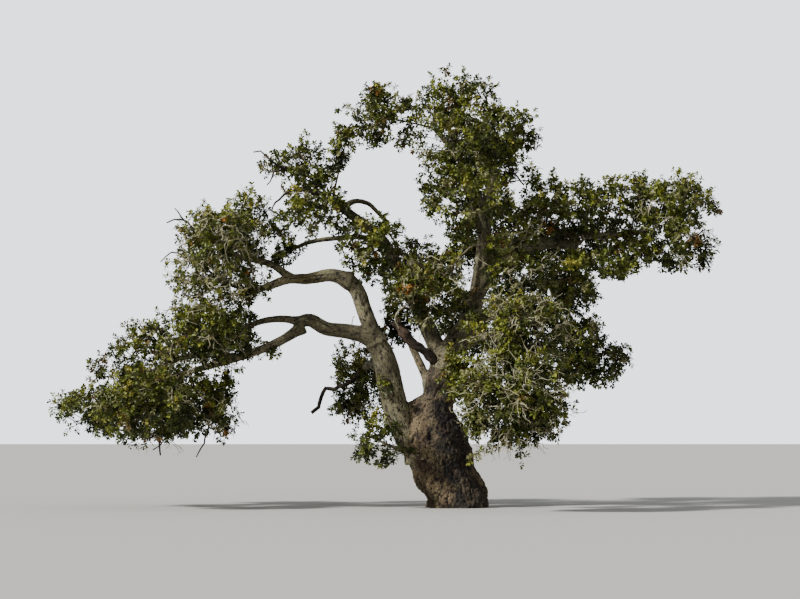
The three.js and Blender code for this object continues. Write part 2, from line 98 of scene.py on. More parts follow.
def paint(code: str) -> tuple[float, float, float, float]:
    """Turn a screen colour such as "8a7d66" into the linear colour that a shader takes.

    Args:
        code: its red, green and blue parts, of two hexadecimal digits each.

    Returns:
        The linear colour, opaque.
    """
    parts = [int(code[n : n + 2], 16) / 255 for n in (0, 2, 4)]
    # The usual curve of a screen's colours, straight near black.
    linear = [c / 12.92 if c <= 0.04045 else ((c + 0.055) / 1.055) ** 2.4 for c in parts]
    return (*linear, 1.0)


class SeededRandom:
    """Numbers from 0 to 1 that are the same for the same seed, as the solids' own rule draws them."""

    WORD = 0xFFFFFFFF
    STEP = 0x6D2B79F5

    def __init__(self, seed: int) -> None:
        """Start the row of numbers that belongs to the seed."""
        self.state = seed & self.WORD

    def __call__(self) -> float:
        """Draw the next number.

        Returns:
            The number.
        """
        self.state = (self.state + self.STEP) & self.WORD
        mixed = self.state
        mixed = ((mixed ^ (mixed >> 15)) * (mixed | 1)) & self.WORD
        mixed ^= (mixed + (((mixed ^ (mixed >> 7)) * (mixed | 61)) & self.WORD)) & self.WORD
        return (mixed ^ (mixed >> 14)) / (self.WORD + 1)


class LimbCurve:
    """A smooth centripetal curve through a few places, read by the share of its length."""

    DIVISIONS = 200
    TANGENT_STEP = 1e-4

    def __init__(self, places: Sequence[Sequence[float]]) -> None:
        """Measure the curve through the places.

        Args:
            places: what the curve passes through, in order.
        """
        inner = np.asarray(places, float)
        first = 2 * inner[0] - inner[1]
        last = 2 * inner[-1] - inner[-2]
        self.knots = np.vstack([first, inner, last])
        self.shares = np.linspace(0, 1, self.DIVISIONS + 1)
        steps = np.linalg.norm(np.diff(self.plain(self.shares), axis=0), axis=1)
        self.lengths = np.concatenate([[0], np.cumsum(steps)])
        self.length = float(self.lengths[-1])

    def plain(self, shares: np.ndarray) -> np.ndarray:
        """Give the places at shares of the row of knots.

        Args:
            shares: numbers from 0 at the first place to 1 at the last.

        Returns:
            One place for each share.
        """
        spans = len(self.knots) - 3
        along = np.atleast_1d(shares) * spans
        span = np.minimum(along.astype(int), spans - 1)
        part = (along - span)[:, None]
        before, start, end, after = (self.knots[span + n] for n in range(4))
        gaps = [np.linalg.norm(b - a, axis=1)[:, None] ** 0.5 for a, b in
                ((before, start), (start, end), (end, after))]
        leave = (start - before) / gaps[0] - (end - before) / (gaps[0] + gaps[1]) + (end - start) / gaps[1]
        arrive = (end - start) / gaps[1] - (after - start) / (gaps[1] + gaps[2]) + (after - end) / gaps[2]
        leave, arrive = leave * gaps[1], arrive * gaps[1]
        square = -3 * start + 3 * end - 2 * leave - arrive
        cube = 2 * start - 2 * end + leave + arrive
        return start + part * (leave + part * (square + part * cube))

    def knot_share(self, share: float | np.ndarray) -> np.ndarray:
        """Turn a share of the length into a share of the row of knots."""
        return np.interp(np.asarray(share) * self.length, self.lengths, self.shares)

    def places(self, shares: np.ndarray) -> np.ndarray:
        """Give the places at shares of the length."""
        return self.plain(self.knot_share(shares))

    def place(self, share: float) -> np.ndarray:
        """Give the place at one share of the length."""
        return self.places(np.array([share]))[0]

    def runs(self, shares: np.ndarray) -> np.ndarray:
        """Give the directions in which the curve runs at shares of the length.

        Args:
            shares: numbers from 0 at the curve's start to 1 at its end.

        Returns:
            One direction of unit length for each share.
        """
        middle = self.knot_share(shares)
        ends = [np.clip(middle + step, 0, 1) for step in (self.TANGENT_STEP, -self.TANGENT_STEP)]
        return unit(self.plain(ends[0]) - self.plain(ends[1]))

    def run(self, share: float) -> np.ndarray:
        """Give the direction in which the curve runs at one share of the length."""
        return self.runs(np.array([share]))[0]


@dataclass(frozen=True)
class BoughPlan:
    """One bough: the limb that it leaves, the places that it passes, and its radius at foot and tip."""

    leaves: str
    path: tuple[Place, ...]
    foot: float
    tip: float

    @cached_property
    def curve(self) -> LimbCurve:
        """The bough's centre line."""
        return LimbCurve(self.path)


@dataclass(frozen=True)
class SprigFoot:
    """Where a mass grows straight from the trunk."""

    at: Place
    towards: Place
    radius: float


@dataclass(frozen=True)
class MassPlan:
    """One mass of leaves: the limb whose tip carries it, the middle of its space, and the space's half sizes.

    fullness scales how many leaves it holds, lift bends its shoots up or, below 0, lets them hang, and tint
    paints light and shade into its leaf colours, from painted shade at 0 to painted sunlight at 1. grey_twigs
    are bare, under lichen.
    """

    on: str
    middle: Place
    half: Place
    fullness: float = 1.0
    lift: float = 0.3
    tint: float = 0.5
    foot: SprigFoot | None = None
    grey_twigs: int = 0


# Places on the trunk's middle line, each with the trunk's radius there.
TRUNK: tuple[tuple[Place, float], ...] = (
    ((0.0, 0.0, -0.2), 0.82),
    ((0.0, 0.0, 0.05), 0.76),
    ((-0.07, 0.0, 0.42), 0.69),
    ((-0.24, 0.02, 0.85), 0.72),
    ((-0.42, 0.02, 1.3), 0.79),
    ((-0.56, 0.0, 1.8), 0.78),
    ((-0.6, -0.02, 2.2), 0.66),
    ((-0.55, -0.02, 2.52), 0.43),
    ((-0.48, 0.0, 2.8), 0.3),
    ((-0.4, 0.0, 3.3), 0.29),
    ((-0.28, 0.02, 3.85), 0.3),
)

BOUGHS: dict[str, BoughPlan] = {
    "left_arm": BoughPlan("trunk", (
        (-0.85, 0, 1.35), (-1.33, -0.12, 2.0), (-1.6, -0.22, 2.9), (-1.8, -0.3, 3.75), (-2.2, -0.35, 4.4),
    ), 0.38, 0.25),
    "left_arm_rise": BoughPlan("left_arm", (
        (-1.95, -0.32, 4.05), (-2.28, -0.3, 4.85), (-2.45, -0.3, 5.35), (-2.7, -0.32, 5.7),
    ), 0.22, 0.18),
    "left_arm_reach": BoughPlan("left_arm_rise", (
        (-2.62, -0.32, 5.62), (-3.1, -0.36, 5.78), (-3.7, -0.42, 5.68), (-4.2, -0.48, 5.66),
        (-4.75, -0.5, 5.46),
    ), 0.18, 0.1),
    "left_low_arm": BoughPlan("left_arm", (
        (-2.1, -0.33, 4.25), (-2.75, -0.34, 4.38), (-3.25, -0.34, 4.46), (-3.65, -0.32, 4.66),
        (-3.95, -0.3, 4.6),
    ), 0.2, 0.15),
    "left_low_upper": BoughPlan("left_low_arm", (
        (-3.85, -0.3, 4.62), (-4.4, -0.1, 4.7), (-4.95, 0, 4.62), (-5.35, 0.05, 4.42),
    ), 0.1, 0.07),
    "left_low_lower": BoughPlan("left_low_arm", (
        (-3.8, -0.3, 4.5), (-4.4, -0.4, 4.12), (-5.1, -0.3, 3.84), (-5.9, -0.1, 3.6), (-6.55, 0, 3.42),
    ), 0.13, 0.08),
    "left_runner": BoughPlan("left_low_lower", (
        (-5.6, -0.2, 3.72), (-6.2, 0.1, 3.82), (-6.9, 0.15, 3.72), (-7.6, 0.1, 3.4),
    ), 0.08, 0.06),
    "left_high": BoughPlan("left_arm_reach", (
        (-4.1, -0.45, 5.68), (-4.6, -0.25, 6.05), (-5.15, 0, 6.2), (-5.55, 0.05, 6.3),
    ), 0.1, 0.07),
    "back_sweep": BoughPlan("trunk", (
        (-0.35, 0.05, 3.7), (-0.75, 0.5, 4.6), (-1.3, 0.85, 5.7), (-1.85, 0.95, 6.75), (-2.6, 0.75, 7.35),
        (-3.15, 0.45, 7.75),
    ), 0.23, 0.1),
    "inner_left": BoughPlan("back_sweep", (
        (-1.45, 0.87, 6.05), (-1.62, 0.65, 6.5), (-1.75, 0.4, 6.7),
    ), 0.1, 0.07),
    "middle_stem": BoughPlan("trunk", (
        (-0.3, 0, 3.7), (0.3, 0.08, 4.65), (0.55, 0.12, 5.45), (0.7, 0.1, 6.4), (0.76, 0.04, 7.4),
        (0.9, 0.12, 8.05),
    ), 0.27, 0.14),
    "top_left_stem": BoughPlan("middle_stem", (
        (0.74, 0, 7.25), (0.45, -0.12, 8.0), (0, -0.14, 8.85), (-0.5, -0.1, 9.45),
    ), 0.12, 0.07),
    "front_high": BoughPlan("middle_stem", (
        (0.72, 0.08, 6.65), (0.5, -0.5, 7.15), (0.28, -1.05, 7.75), (0.15, -1.25, 8.15),
    ), 0.11, 0.06),
    "back_high": BoughPlan("middle_stem", (
        (0.66, 0.12, 6.0), (0.9, 0.8, 6.35), (1.3, 1.5, 6.65), (1.6, 1.95, 6.85),
    ), 0.13, 0.07),
    "right_arm": BoughPlan("middle_stem", (
        (0.56, 0.12, 5.5), (1.15, 0, 6.1), (1.75, -0.1, 6.45), (2.35, -0.15, 6.6), (3.0, -0.15, 6.52),
    ), 0.18, 0.12),
    "right_arm_out": BoughPlan("right_arm", (
        (2.3, -0.14, 6.6), (2.95, 0.12, 6.86), (3.8, 0.15, 6.8), (4.7, 0.05, 6.9),
    ), 0.1, 0.07),
    "low_front": BoughPlan("middle_stem", (
        (0.42, 0.1, 5.0), (0.5, -0.55, 5.55), (0.55, -1.1, 6.05), (0.6, -1.4, 6.3),
    ), 0.1, 0.06),
    "front_right": BoughPlan("trunk", (
        (-0.35, 0, 3.5), (0.1, -0.75, 3.95), (0.65, -1.6, 4.2), (1.1, -2.35, 3.95), (1.4, -2.85, 3.4),
    ), 0.17, 0.08),
    "back_right": BoughPlan("middle_stem", (
        (0.15, 0.06, 4.4), (0.9, 0.7, 4.85), (1.75, 1.25, 4.9), (2.45, 1.6, 4.7),
    ), 0.15, 0.08),
    "back_left": BoughPlan("left_arm", (
        (-1.72, -0.25, 3.3), (-2.0, 0.6, 3.55), (-2.2, 1.6, 3.6), (-2.35, 2.5, 3.5),
    ), 0.16, 0.08),
    "back_low": BoughPlan("trunk", (
        (-0.38, 0, 3.2), (-0.1, 0.9, 3.9), (0.25, 1.9, 4.4), (0.55, 2.75, 4.65),
    ), 0.17, 0.09),
    "dead_snag": BoughPlan("trunk", (
        (-0.38, -0.05, 3.45), (-0.75, -0.3, 3.85), (-1.15, -0.4, 4.15), (-1.42, -0.42, 4.5),
    ), 0.13, 0.07),
}

SNAG = "dead_snag"

# Live limbs that are too thin for the solids.
THIN_BOUGHS: dict[str, BoughPlan] = {
    "over_gap": BoughPlan("back_sweep", (
        (-2.85, 0.6, 7.55), (-2.55, 0.65, 7.72), (-2.2, 0.7, 7.66), (-1.95, 0.7, 7.42), (-1.7, 0.6, 7.15),
    ), 0.07, 0.045),
    "above_arm": BoughPlan("back_sweep", (
        (-1.75, 0.93, 6.5), (-2.3, 0.5, 6.78), (-2.9, 0.3, 6.76), (-3.6, 0.2, 6.66), (-4.15, 0.1, 6.45),
    ), 0.085, 0.05),
    "spur": BoughPlan("trunk", (
        (-0.62, 0.0, 2.95), (-0.82, 0.0, 3.4), (-1.05, 0.05, 3.9), (-1.15, 0.1, 4.15),
    ), 0.12, 0.09),
}
SKIN_BOUGHS: dict[str, BoughPlan] = {
    **{name: plan for name, plan in BOUGHS.items() if name != SNAG}, **THIN_BOUGHS}


@dataclass(frozen=True)
class DeadTwig:
    """A bare dead twig or thin bough."""

    path: tuple[Place, ...]
    foot: float
    tip: float
    places: int = 10

    def row(self) -> tuple[np.ndarray, np.ndarray]:
        """Give the places along the twig, and its radius at each."""
        row = LimbCurve(self.path).places(np.linspace(0, 1, self.places))
        return row, np.linspace(self.foot, self.tip, self.places)


DEAD_TWIGS: tuple[DeadTwig, ...] = (
    DeadTwig(((-2.28, 2.2, 3.53), (-2.84, 2.7, 3.1), (-3.1, 2.9, 3.02), (-3.4, 3.0, 2.92), (-3.48, 3.0, 2.7),
              (-3.55, 3.0, 2.5), (-3.76, 3.0, 2.34)), 0.065, 0.05, 18),
    DeadTwig(((-3.85, 0.5, 8.48), (-4.3, 0.0, 8.5), (-4.6, -0.3, 8.62), (-4.85, -0.3, 8.87),
              (-5.08, -0.3, 8.85)), 0.042, 0.018),
    DeadTwig(((-3.9, 0.5, 8.5), (-4.3, 0.0, 8.45), (-4.52, -0.2, 8.38), (-4.6, -0.3, 8.2),
              (-4.72, -0.3, 8.0)), 0.038, 0.016),
    DeadTwig(((-3.15, 0.45, 7.75), (-3.5, -0.2, 7.82), (-3.87, -0.7, 7.85), (-4.2, -0.9, 7.8),
              (-4.35, -0.9, 7.97)), 0.05, 0.02),
    DeadTwig(((-4.15, -0.88, 7.81), (-4.42, -0.9, 7.6), (-4.58, -0.9, 7.3)), 0.036, 0.016, 6),
    DeadTwig(((-5.75, -0.5, 6.5), (-6.3, -0.5, 6.8), (-6.55, -0.5, 6.95), (-6.8, -0.5, 7.15),
              (-7.02, -0.5, 7.2), (-7.17, -0.5, 7.1)), 0.042, 0.018),
    DeadTwig(((-6.78, -0.5, 7.14), (-6.9, -0.52, 7.32), (-7.0, -0.55, 7.42)), 0.024, 0.014, 5),
    DeadTwig(((-6.0, -0.4, 5.75), (-6.5, -0.4, 6.15), (-6.85, -0.4, 6.3), (-7.1, -0.4, 6.35),
              (-7.35, -0.4, 6.1)), 0.036, 0.015),
    DeadTwig(((-7.5, -1.7, 2.5), (-7.2, -1.7, 2.05), (-7.25, -1.7, 1.7), (-7.2, -1.7, 1.3)), 0.04, 0.02),
    DeadTwig(((-6.25, 0.0, 2.5), (-6.7, 0.0, 2.02), (-7.2, 0.0, 1.7), (-7.57, 0.0, 1.45)), 0.034, 0.015),
    DeadTwig(((-6.2, 0.0, 2.4), (-6.2, 0.0, 1.95), (-6.3, 0.0, 1.6), (-6.5, 0.0, 1.25)), 0.034, 0.015),
    DeadTwig(((1.0, 0.1, 9.2), (1.1, 0.1, 8.93), (1.4, 0.1, 8.5), (1.7, 0.1, 8.05)), 0.04, 0.02),
)

# Stands out of the snag's broken end, and is under lichen.
BARE_TWIG = DeadTwig(((-1.4, -0.46, 4.4), (-1.52, -0.6, 4.68), (-1.42, -0.75, 4.88), (-1.24, -0.9, 5.0),
                      (-1.08, -1.0, 5.14)), 0.036, 0.018)

SPRIG_FOOT = SprigFoot(at=(-0.8, -0.55, 1.25), towards=(-0.75, -0.65, 0.1), radius=0.09)

# In the order that seeds them.
MASSES: dict[str, MassPlan] = {
    "far_left_tip": MassPlan("left_runner", (-9.0, -0.25, 2.4), (1.2, 1.2, 0.7), 1.0, -0.1, 0.5),
    "left_shelf": MassPlan("left_runner", (-8.1, 0.45, 3.75), (1.15, 1.3, 0.8), 0.6, 0.3, 0.5),
    "left_low_front": MassPlan("left_low_lower", (-7.55, -1.75, 2.5), (1.3, 1.4, 1.0), 1.15, -0.1, 0.4,
        grey_twigs=12),
    "left_low_back": MassPlan("left_low_lower", (-7.3, 1.7, 2.7), (1.4, 1.4, 1.0), 1.1, 0.0, 0.4),
    "left_skirt": MassPlan("left_low_lower", (-6.2, 0.0, 2.55), (1.0, 1.2, 0.95), 0.8, -0.2, 0.4,
        grey_twigs=9),
    "left_mid_front": MassPlan("left_low_upper", (-6.35, -1.2, 4.25), (1.2, 1.2, 0.85), 1.05, 0.2, 0.5,
        grey_twigs=15),
    "left_mid_back": MassPlan("left_low_upper", (-5.9, 1.35, 4.35), (1.25, 1.25, 0.85), 0.8, 0.2, 0.4),
    "left_flank": MassPlan("left_arm_reach", (-6.0, -0.4, 5.65), (1.2, 1.3, 0.9), 0.7, 0.2, 0.7,
        grey_twigs=39),
    "left_shoulder_front": MassPlan("left_high", (-5.9, -1.15, 6.7), (1.05, 1.2, 0.85), 0.9, 0.4, 0.7,
        grey_twigs=24),
    "left_shoulder_back": MassPlan("left_high", (-5.9, 1.3, 6.6), (1.15, 1.3, 0.9), 0.8, 0.4, 0.6,
        grey_twigs=12),
    "left_inner": MassPlan("left_high", (-5.0, -0.2, 7.1), (0.85, 1.2, 0.85), 0.7, 0.4, 0.7, grey_twigs=8),
    "left_crest": MassPlan("back_sweep", (-3.8, 0.5, 8.45), (1.1, 1.2, 0.85), 0.7, 0.4, 0.6),
    "left_crest_low": MassPlan("back_sweep", (-3.75, -0.9, 7.3), (0.95, 1.1, 0.7), 0.7, 0.3, 0.6),
    "inner_left_front": MassPlan("inner_left", (-2.1, -1.0, 6.35), (1.0, 1.0, 0.85), 0.9, 0.3, 0.5),
    "inner_left_back": MassPlan("inner_left", (-1.0, 2.2, 6.05), (1.1, 1.3, 0.85), 0.7, 0.3, 0.4),
    "top_left": MassPlan("top_left_stem", (-1.75, -0.3, 9.75), (1.1, 1.15, 0.9), 0.8, 0.4, 0.6),
    "crown_top": MassPlan("top_left_stem", (-0.05, 0.1, 10.1), (1.0, 1.1, 0.9), 0.8, 0.5, 0.6),
    "top_right": MassPlan("middle_stem", (1.05, 0.1, 9.35), (1.1, 1.2, 0.95), 0.9, 0.4, 0.6),
    "top_back": MassPlan("middle_stem", (0.6, 2.2, 8.95), (1.3, 1.3, 0.95), 0.9, 0.3, 0.5),
    "top_front": MassPlan("front_high", (0.0, -1.7, 8.95), (1.2, 1.1, 0.85), 0.9, 0.3, 0.6, grey_twigs=6),
    "column_front": MassPlan("front_high", (0.3, -2.35, 7.4), (1.1, 1.2, 0.95), 1.0, 0.2, 0.5),
    "column_back": MassPlan("back_high", (1.1, 3.0, 7.1), (1.3, 1.3, 0.95), 1.0, 0.2, 0.4),
    "column_low": MassPlan("low_front", (-0.65, -1.4, 5.35), (1.1, 1.1, 0.95), 1.05, 0.2, 0.5,
        grey_twigs=15),
    "column_right": MassPlan("low_front", (1.4, -2.0, 6.0), (1.0, 1.2, 0.9), 1.0, 0.2, 0.4, grey_twigs=9),
    "right_near": MassPlan("right_arm", (2.6, -0.7, 7.4), (1.25, 1.3, 0.8), 0.9, 0.3, 0.5),
    "right_low_front": MassPlan("right_arm", (3.15, -1.4, 5.8), (1.3, 1.2, 0.75), 1.05, 0.1, 0.4),
    "right_mid": MassPlan("right_arm_out", (4.45, 0.8, 7.6), (1.2, 1.3, 0.9), 0.9, 0.3, 0.4),
    "right_end": MassPlan("right_arm_out", (5.6, -0.2, 7.2), (1.1, 1.3, 1.25), 1.0, 0.2, 0.5,
        grey_twigs=15),
    "right_end_low": MassPlan("right_arm_out", (4.75, 0.1, 6.4), (1.3, 1.2, 0.6), 1.0, 0.0, 0.3),
    "right_back": MassPlan("back_high", (3.0, 2.1, 6.9), (1.3, 1.35, 0.9), 0.9, 0.2, 0.3),
    "right_low_back": MassPlan("back_right", (2.5, 1.9, 5.45), (1.3, 1.3, 0.8), 0.9, 0.2, 0.3),
    "back_right_low": MassPlan("back_right", (3.4, 1.6, 3.95), (1.15, 1.4, 1.0), 1.15, 0.0, 0.2),
    "front_right_high": MassPlan("front_right", (1.46, -2.86, 4.36), (1.3, 1.25, 0.85), 1.5, 0.2, 0.6,
        grey_twigs=45),
    "front_right_low": MassPlan("front_right", (1.3, -3.5, 2.65), (1.4, 1.35, 1.3), 1.5, -0.2, 0.6,
        grey_twigs=84),
    "back_left_mass": MassPlan("back_left", (-2.5, 3.3, 3.2), (1.1, 1.35, 1.15), 1.0, 0.0, 0.2),
    "back_low_mass": MassPlan("back_low", (0.8, 4.0, 4.8), (1.35, 1.35, 0.95), 1.0, 0.1, 0.3),
    "trunk_sprig": MassPlan("trunk", (-2.0, -0.95, 1.7), (0.7, 0.75, 0.75), 0.9, 0.2, 0.0, SPRIG_FOOT),
}


@dataclass(frozen=True)
class SprigPlan:
    """A sprig too small for the solids: where it leaves the wood, and the space that it fills.

    fullness, lift and tint are those of a mass.
    """

    foot: Place
    middle: Place
    half: Place
    fullness: float = 1.0
    lift: float = 0.3
    tint: float = 0.5


SPRIGS: tuple[SprigPlan, ...] = (
    SprigPlan((-0.85, 0.5, 4.75), (-1.55, 0.8, 4.8), (0.6, 0.5, 0.9), 2.0, 0.0, 0.3),
    SprigPlan((-1.3, 0.85, 5.7), (-1.75, 0.6, 5.55), (0.3, 0.4, 0.3), 1.2, 0.0, 0.3),
    SprigPlan((0.1, -0.75, 3.95), (0.05, -1.9, 3.3), (0.5, 0.6, 0.8), 2.0, -0.2, 0.6),
    SprigPlan((-4.4, -0.4, 4.12), (-4.35, -0.5, 3.88), (0.36, 0.3, 0.26), 1.2, -0.3, 0.2),
    SprigPlan((-5.3, -0.26, 3.78), (-5.3, -0.6, 3.9), (0.5, 0.35, 0.34), 1.0, 0.0, 0.3),
    SprigPlan((0.2, -0.6, 1.2), (0.5, -0.75, 1.32), (0.26, 0.25, 0.28), 1.2, 0.2, 0.7),
    SprigPlan((-1.66, -0.5, 3.0), (-1.78, -0.65, 3.05), (0.2, 0.2, 0.34), 1.4, 0.3, 0.2),
    SprigPlan((-2.6, -0.35, 4.45), (-2.56, -0.4, 4.75), (0.16, 0.16, 0.16), 1.6, 0.5, 0.7),
    SprigPlan((-4.15, 0.1, 6.45), (-4.35, -0.1, 6.4), (0.5, 0.6, 0.44), 1.4, 0.1, 0.3),
    SprigPlan((0.7, 0.1, 6.4), (0.1, 0.3, 6.45), (0.48, 0.5, 0.7), 1.2, 0.1, 0.3),
    SprigPlan((1.4, -2.85, 3.4), (2.6, -1.6, 3.2), (0.45, 0.6, 0.4), 1.0, -0.1, 0.4),
    SprigPlan((-5.6, -0.2, 3.68), (-5.6, -0.2, 3.32), (0.5, 0.5, 0.3), 1.1, -0.2, 0.3),
    SprigPlan((-2.5, 0.78, 7.28), (-2.8, 0.2, 7.0), (0.42, 0.5, 0.38), 1.1, 0.2, 0.4),
    SprigPlan((-4.7, -0.5, 5.48), (-4.98, -0.5, 5.5), (0.4, 0.55, 0.6), 1.0, 0.0, 0.4),
    SprigPlan((-3.15, 0.45, 7.75), (-3.0, 0.3, 8.65), (0.42, 0.6, 0.8), 1.1, 0.4, 0.5),
    SprigPlan((-3.1, 0.45, 7.8), (-2.7, 0.1, 9.35), (0.45, 0.5, 0.4), 1.4, 0.4, 0.6),
    SprigPlan((-3.12, 0.45, 7.73), (-3.05, -0.1, 7.6), (0.4, 0.4, 0.5), 1.2, 0.2, 0.4),
    SprigPlan((-1.95, 0.93, 6.85), (-1.8, 0.3, 7.0), (0.6, 0.5, 0.38), 1.3, 0.3, 0.5),
    SprigPlan((0.27, -1.05, 7.75), (-0.55, -0.7, 7.95), (0.42, 0.6, 0.85), 1.0, 0.2, 0.4),
    SprigPlan((0.9, 0.12, 8.0), (1.9, -0.2, 8.15), (0.36, 0.5, 0.42), 1.0, 0.3, 0.5),
    SprigPlan((1.05, 0.1, 9.35), (0.75, 0.1, 10.5), (0.38, 0.4, 0.4), 1.0, 0.5, 0.6),
    SprigPlan((5.6, -0.2, 7.2), (6.15, -0.2, 6.3), (0.36, 0.5, 0.5), 0.9, -0.2, 0.4),
    SprigPlan((-6.9, 0.15, 3.72), (-7.6, 0.2, 4.5), (0.75, 0.6, 0.34), 0.8, 0.4, 0.6),
    SprigPlan((-3.85, 0.5, 8.48), (-4.85, 0.4, 8.6), (0.42, 0.4, 0.26), 0.6, 0.3, 0.5),
    SprigPlan((-7.6, 0.1, 3.4), (-8.95, 0.2, 3.4), (0.4, 0.6, 0.32), 0.8, 0.2, 0.5),
)


class Bench:
    """Adds nodes to a node tree and joins them by the names of their sockets."""

    def __init__(self, tree: bpy.types.NodeTree) -> None:
        """Work on the tree."""
        self.tree = tree

    def add(self, kind: str, feeds: Mapping[str | int, object] | None = None,
            **settings: object) -> bpy.types.Node:
        """Add a node.

        Args:
            kind: the node's type.
            feeds: for each input's name or number, a socket to join to it or a value to set.
            settings: the node's own settings, such as its operation.

        Returns:
            The new node.
        """
        node = self.tree.nodes.new(kind)
        for name, value in settings.items():
            setattr(node, name, value)
        for key, value in (feeds or {}).items():
            if isinstance(value, bpy.types.NodeSocket):
                self.tree.links.new(value, node.inputs[key])
            else:
                node.inputs[key].default_value = value
        return node

    def math(self, operation: str, *values: object) -> bpy.types.NodeSocket:
        """Work out one number from others, and give its socket."""
        return self.add("ShaderNodeMath", dict(enumerate(values)), operation=operation).outputs[0]

    def step(self, value: object, band: tuple[object, object],
             to: tuple[object, object] = (0.0, 1.0)) -> bpy.types.NodeSocket:
        """Turn a value that runs from low to high into one that runs smoothly between two ends.

        Args:
            value: the value, or its socket.
            band: the two values between which it changes.
            to: what it turns into at the two.

        Returns:
            The socket of the new value.
        """
        feeds = {"Value": value, "From Min": band[0], "From Max": band[1], "To Min": to[0], "To Max": to[1]}
        node = self.add("ShaderNodeMapRange", feeds, interpolation_type="SMOOTHSTEP")
        return node.outputs["Result"]


class ShaderBench(Bench):
    """Builds a material's tree round one Principled shader."""

    def __init__(self, name: str) -> None:
        """Start a material with its shader and its output.

        Args:
            name: the material's name.
        """
        self.material = bpy.data.materials.new(name)
        self.material.use_nodes = True
        super().__init__(self.material.node_tree)
        self.tree.nodes.clear()
        self.shader = self.add("ShaderNodeBsdfPrincipled")
        self.add("ShaderNodeOutputMaterial", {"Surface": self.shader.outputs[0]})

    def set(self, **values: object) -> None:
        """Set or join the shader's inputs, with _ for each space in their names.

        Args:
            values: for each input's name, a socket to join to it or a value to set.
        """
        for name, value in values.items():
            key = name.replace("_", " ")
            if isinstance(value, bpy.types.NodeSocket):
                self.tree.links.new(value, self.shader.inputs[key])
            else:
                self.shader.inputs[key].default_value = value

    def attribute(self, name: str) -> bpy.types.Node:
        """Read one of the mesh's own attributes."""
        return self.add("ShaderNodeAttribute", attribute_name=name)

    def mix(self, share: object, first: object, second: object) -> bpy.types.NodeSocket:
        """Mix two colours by a share.

        Args:
            share: how much of the second.
            first: the colour at share 0.
            second: the colour at share 1.

        Returns:
            The mixed colour's socket.
        """
        node = self.add("ShaderNodeMix", data_type="RGBA")
        ends = [socket for socket in node.inputs if socket.type == "RGBA"]
        for socket, value in ((node.inputs[0], share), (ends[0], first), (ends[1], second)):
            if isinstance(value, bpy.types.NodeSocket):
                self.tree.links.new(value, socket)
            else:
                socket.default_value = value
        return next(socket for socket in node.outputs if socket.type == "RGBA")

    def noise(self, place: object, scale: float, detail: float = 3.0) -> bpy.types.NodeSocket:
        """Give a soft random value at a place."""
        return self.add("ShaderNodeTexNoise", {"Vector": place, "Scale": scale, "Detail": detail}).outputs[0]


class ShapeBench(Bench):
    """Builds a Geometry Nodes tree with named inputs, which ends in realised instances and a material."""

    SOCKETS = {float: "NodeSocketFloat", int: "NodeSocketInt", bpy.types.Object: "NodeSocketObject",
               bpy.types.Material: "NodeSocketMaterial"}

    def __init__(self, name: str, sizes: Mapping[str, object]) -> None:
        """Start a tree with one named input for each size.

        Args:
            name: the tree's name.
            sizes: for each input's name, its value.
        """
        super().__init__(bpy.data.node_groups.new(name, "GeometryNodeTree"))
        self.sizes = dict(sizes)
        face = self.tree.interface
        face.new_socket("Geometry", in_out="INPUT", socket_type="NodeSocketGeometry")
        face.new_socket("Geometry", in_out="OUTPUT", socket_type="NodeSocketGeometry")
        self.keys = {}
        for label, value in self.sizes.items():
            kind = next(socket for known, socket in self.SOCKETS.items() if isinstance(value, known))
            self.keys[label] = face.new_socket(label, in_out="INPUT", socket_type=kind).identifier
        self.given = self.add("NodeGroupInput").outputs

    def named(self, name: str, data_type: str = "FLOAT") -> bpy.types.NodeSocket:
        """Read a named attribute of the geometry."""
        node = self.add("GeometryNodeInputNamedAttribute", {"Name": name}, data_type=data_type)
        return next(socket for socket in node.outputs if socket.enabled)

    def close(self, shape: bpy.types.NodeSocket) -> None:
        """End the tree: instances made real, and the material set.

        Args:
            shape: the geometry to end with.
        """
        real = self.add("GeometryNodeRealizeInstances", {"Geometry": shape}).outputs[0]
        dressed = self.add("GeometryNodeSetMaterial", {"Geometry": real, "Material": self.given["Material"]})
        self.add("NodeGroupOutput", {"Geometry": dressed.outputs[0]})

    def make(self, source: bpy.types.Mesh, name: str) -> bpy.types.Object:
        """Run the tree on a mesh and keep the result as a plain mesh.

        Args:
            source: the mesh that the tree starts from.
            name: the name of the finished piece.

        Returns:
            The finished piece, with its place in its mesh.
        """
        holder = link(bpy.data.objects.new(f"{name}_source", source))
        modifier = holder.modifiers.new("grow", "NODES")
        modifier.node_group = self.tree
        for label, value in self.sizes.items():
            modifier[self.keys[label]] = value
        return applied(holder, name)


def link(piece: bpy.types.Object) -> bpy.types.Object:
    """Put an object into the scene."""
    bpy.context.scene.collection.objects.link(piece)
    return piece


def applied(holder: bpy.types.Object, name: str) -> bpy.types.Object:
    """Turn an object with its modifiers into a plain mesh object.

    Args:
        holder: the object with modifiers, which is removed.
        name: the name of the new object.

    Returns:
        The new object, without modifiers.
    """
    depsgraph = bpy.context.evaluated_depsgraph_get()
    seen = holder.evaluated_get(depsgraph)
    mesh = bpy.data.meshes.new_from_object(seen, preserve_all_data_layers=True, depsgraph=depsgraph)
    source = holder.data
    bpy.data.objects.remove(holder)
    if source.users == 0:
        bpy.data.meshes.remove(source)
    mesh.name = name
    mesh.shade_smooth()
    return link(bpy.data.objects.new(name, mesh))


def mesh_of(name: str, places: np.ndarray, edges: Sequence = (), faces: Sequence = ()) -> bpy.types.Mesh:
    """Make a mesh from its places and its edges or faces.

    Args:
        name: the mesh's name.
        places: its vertices' places.
        edges: pairs of vertices.
        faces: rows of vertices.

    Returns:
        The mesh.
    """
    mesh = bpy.data.meshes.new(name)
    mesh.from_pydata(places.tolist(), edges, faces)
    return mesh


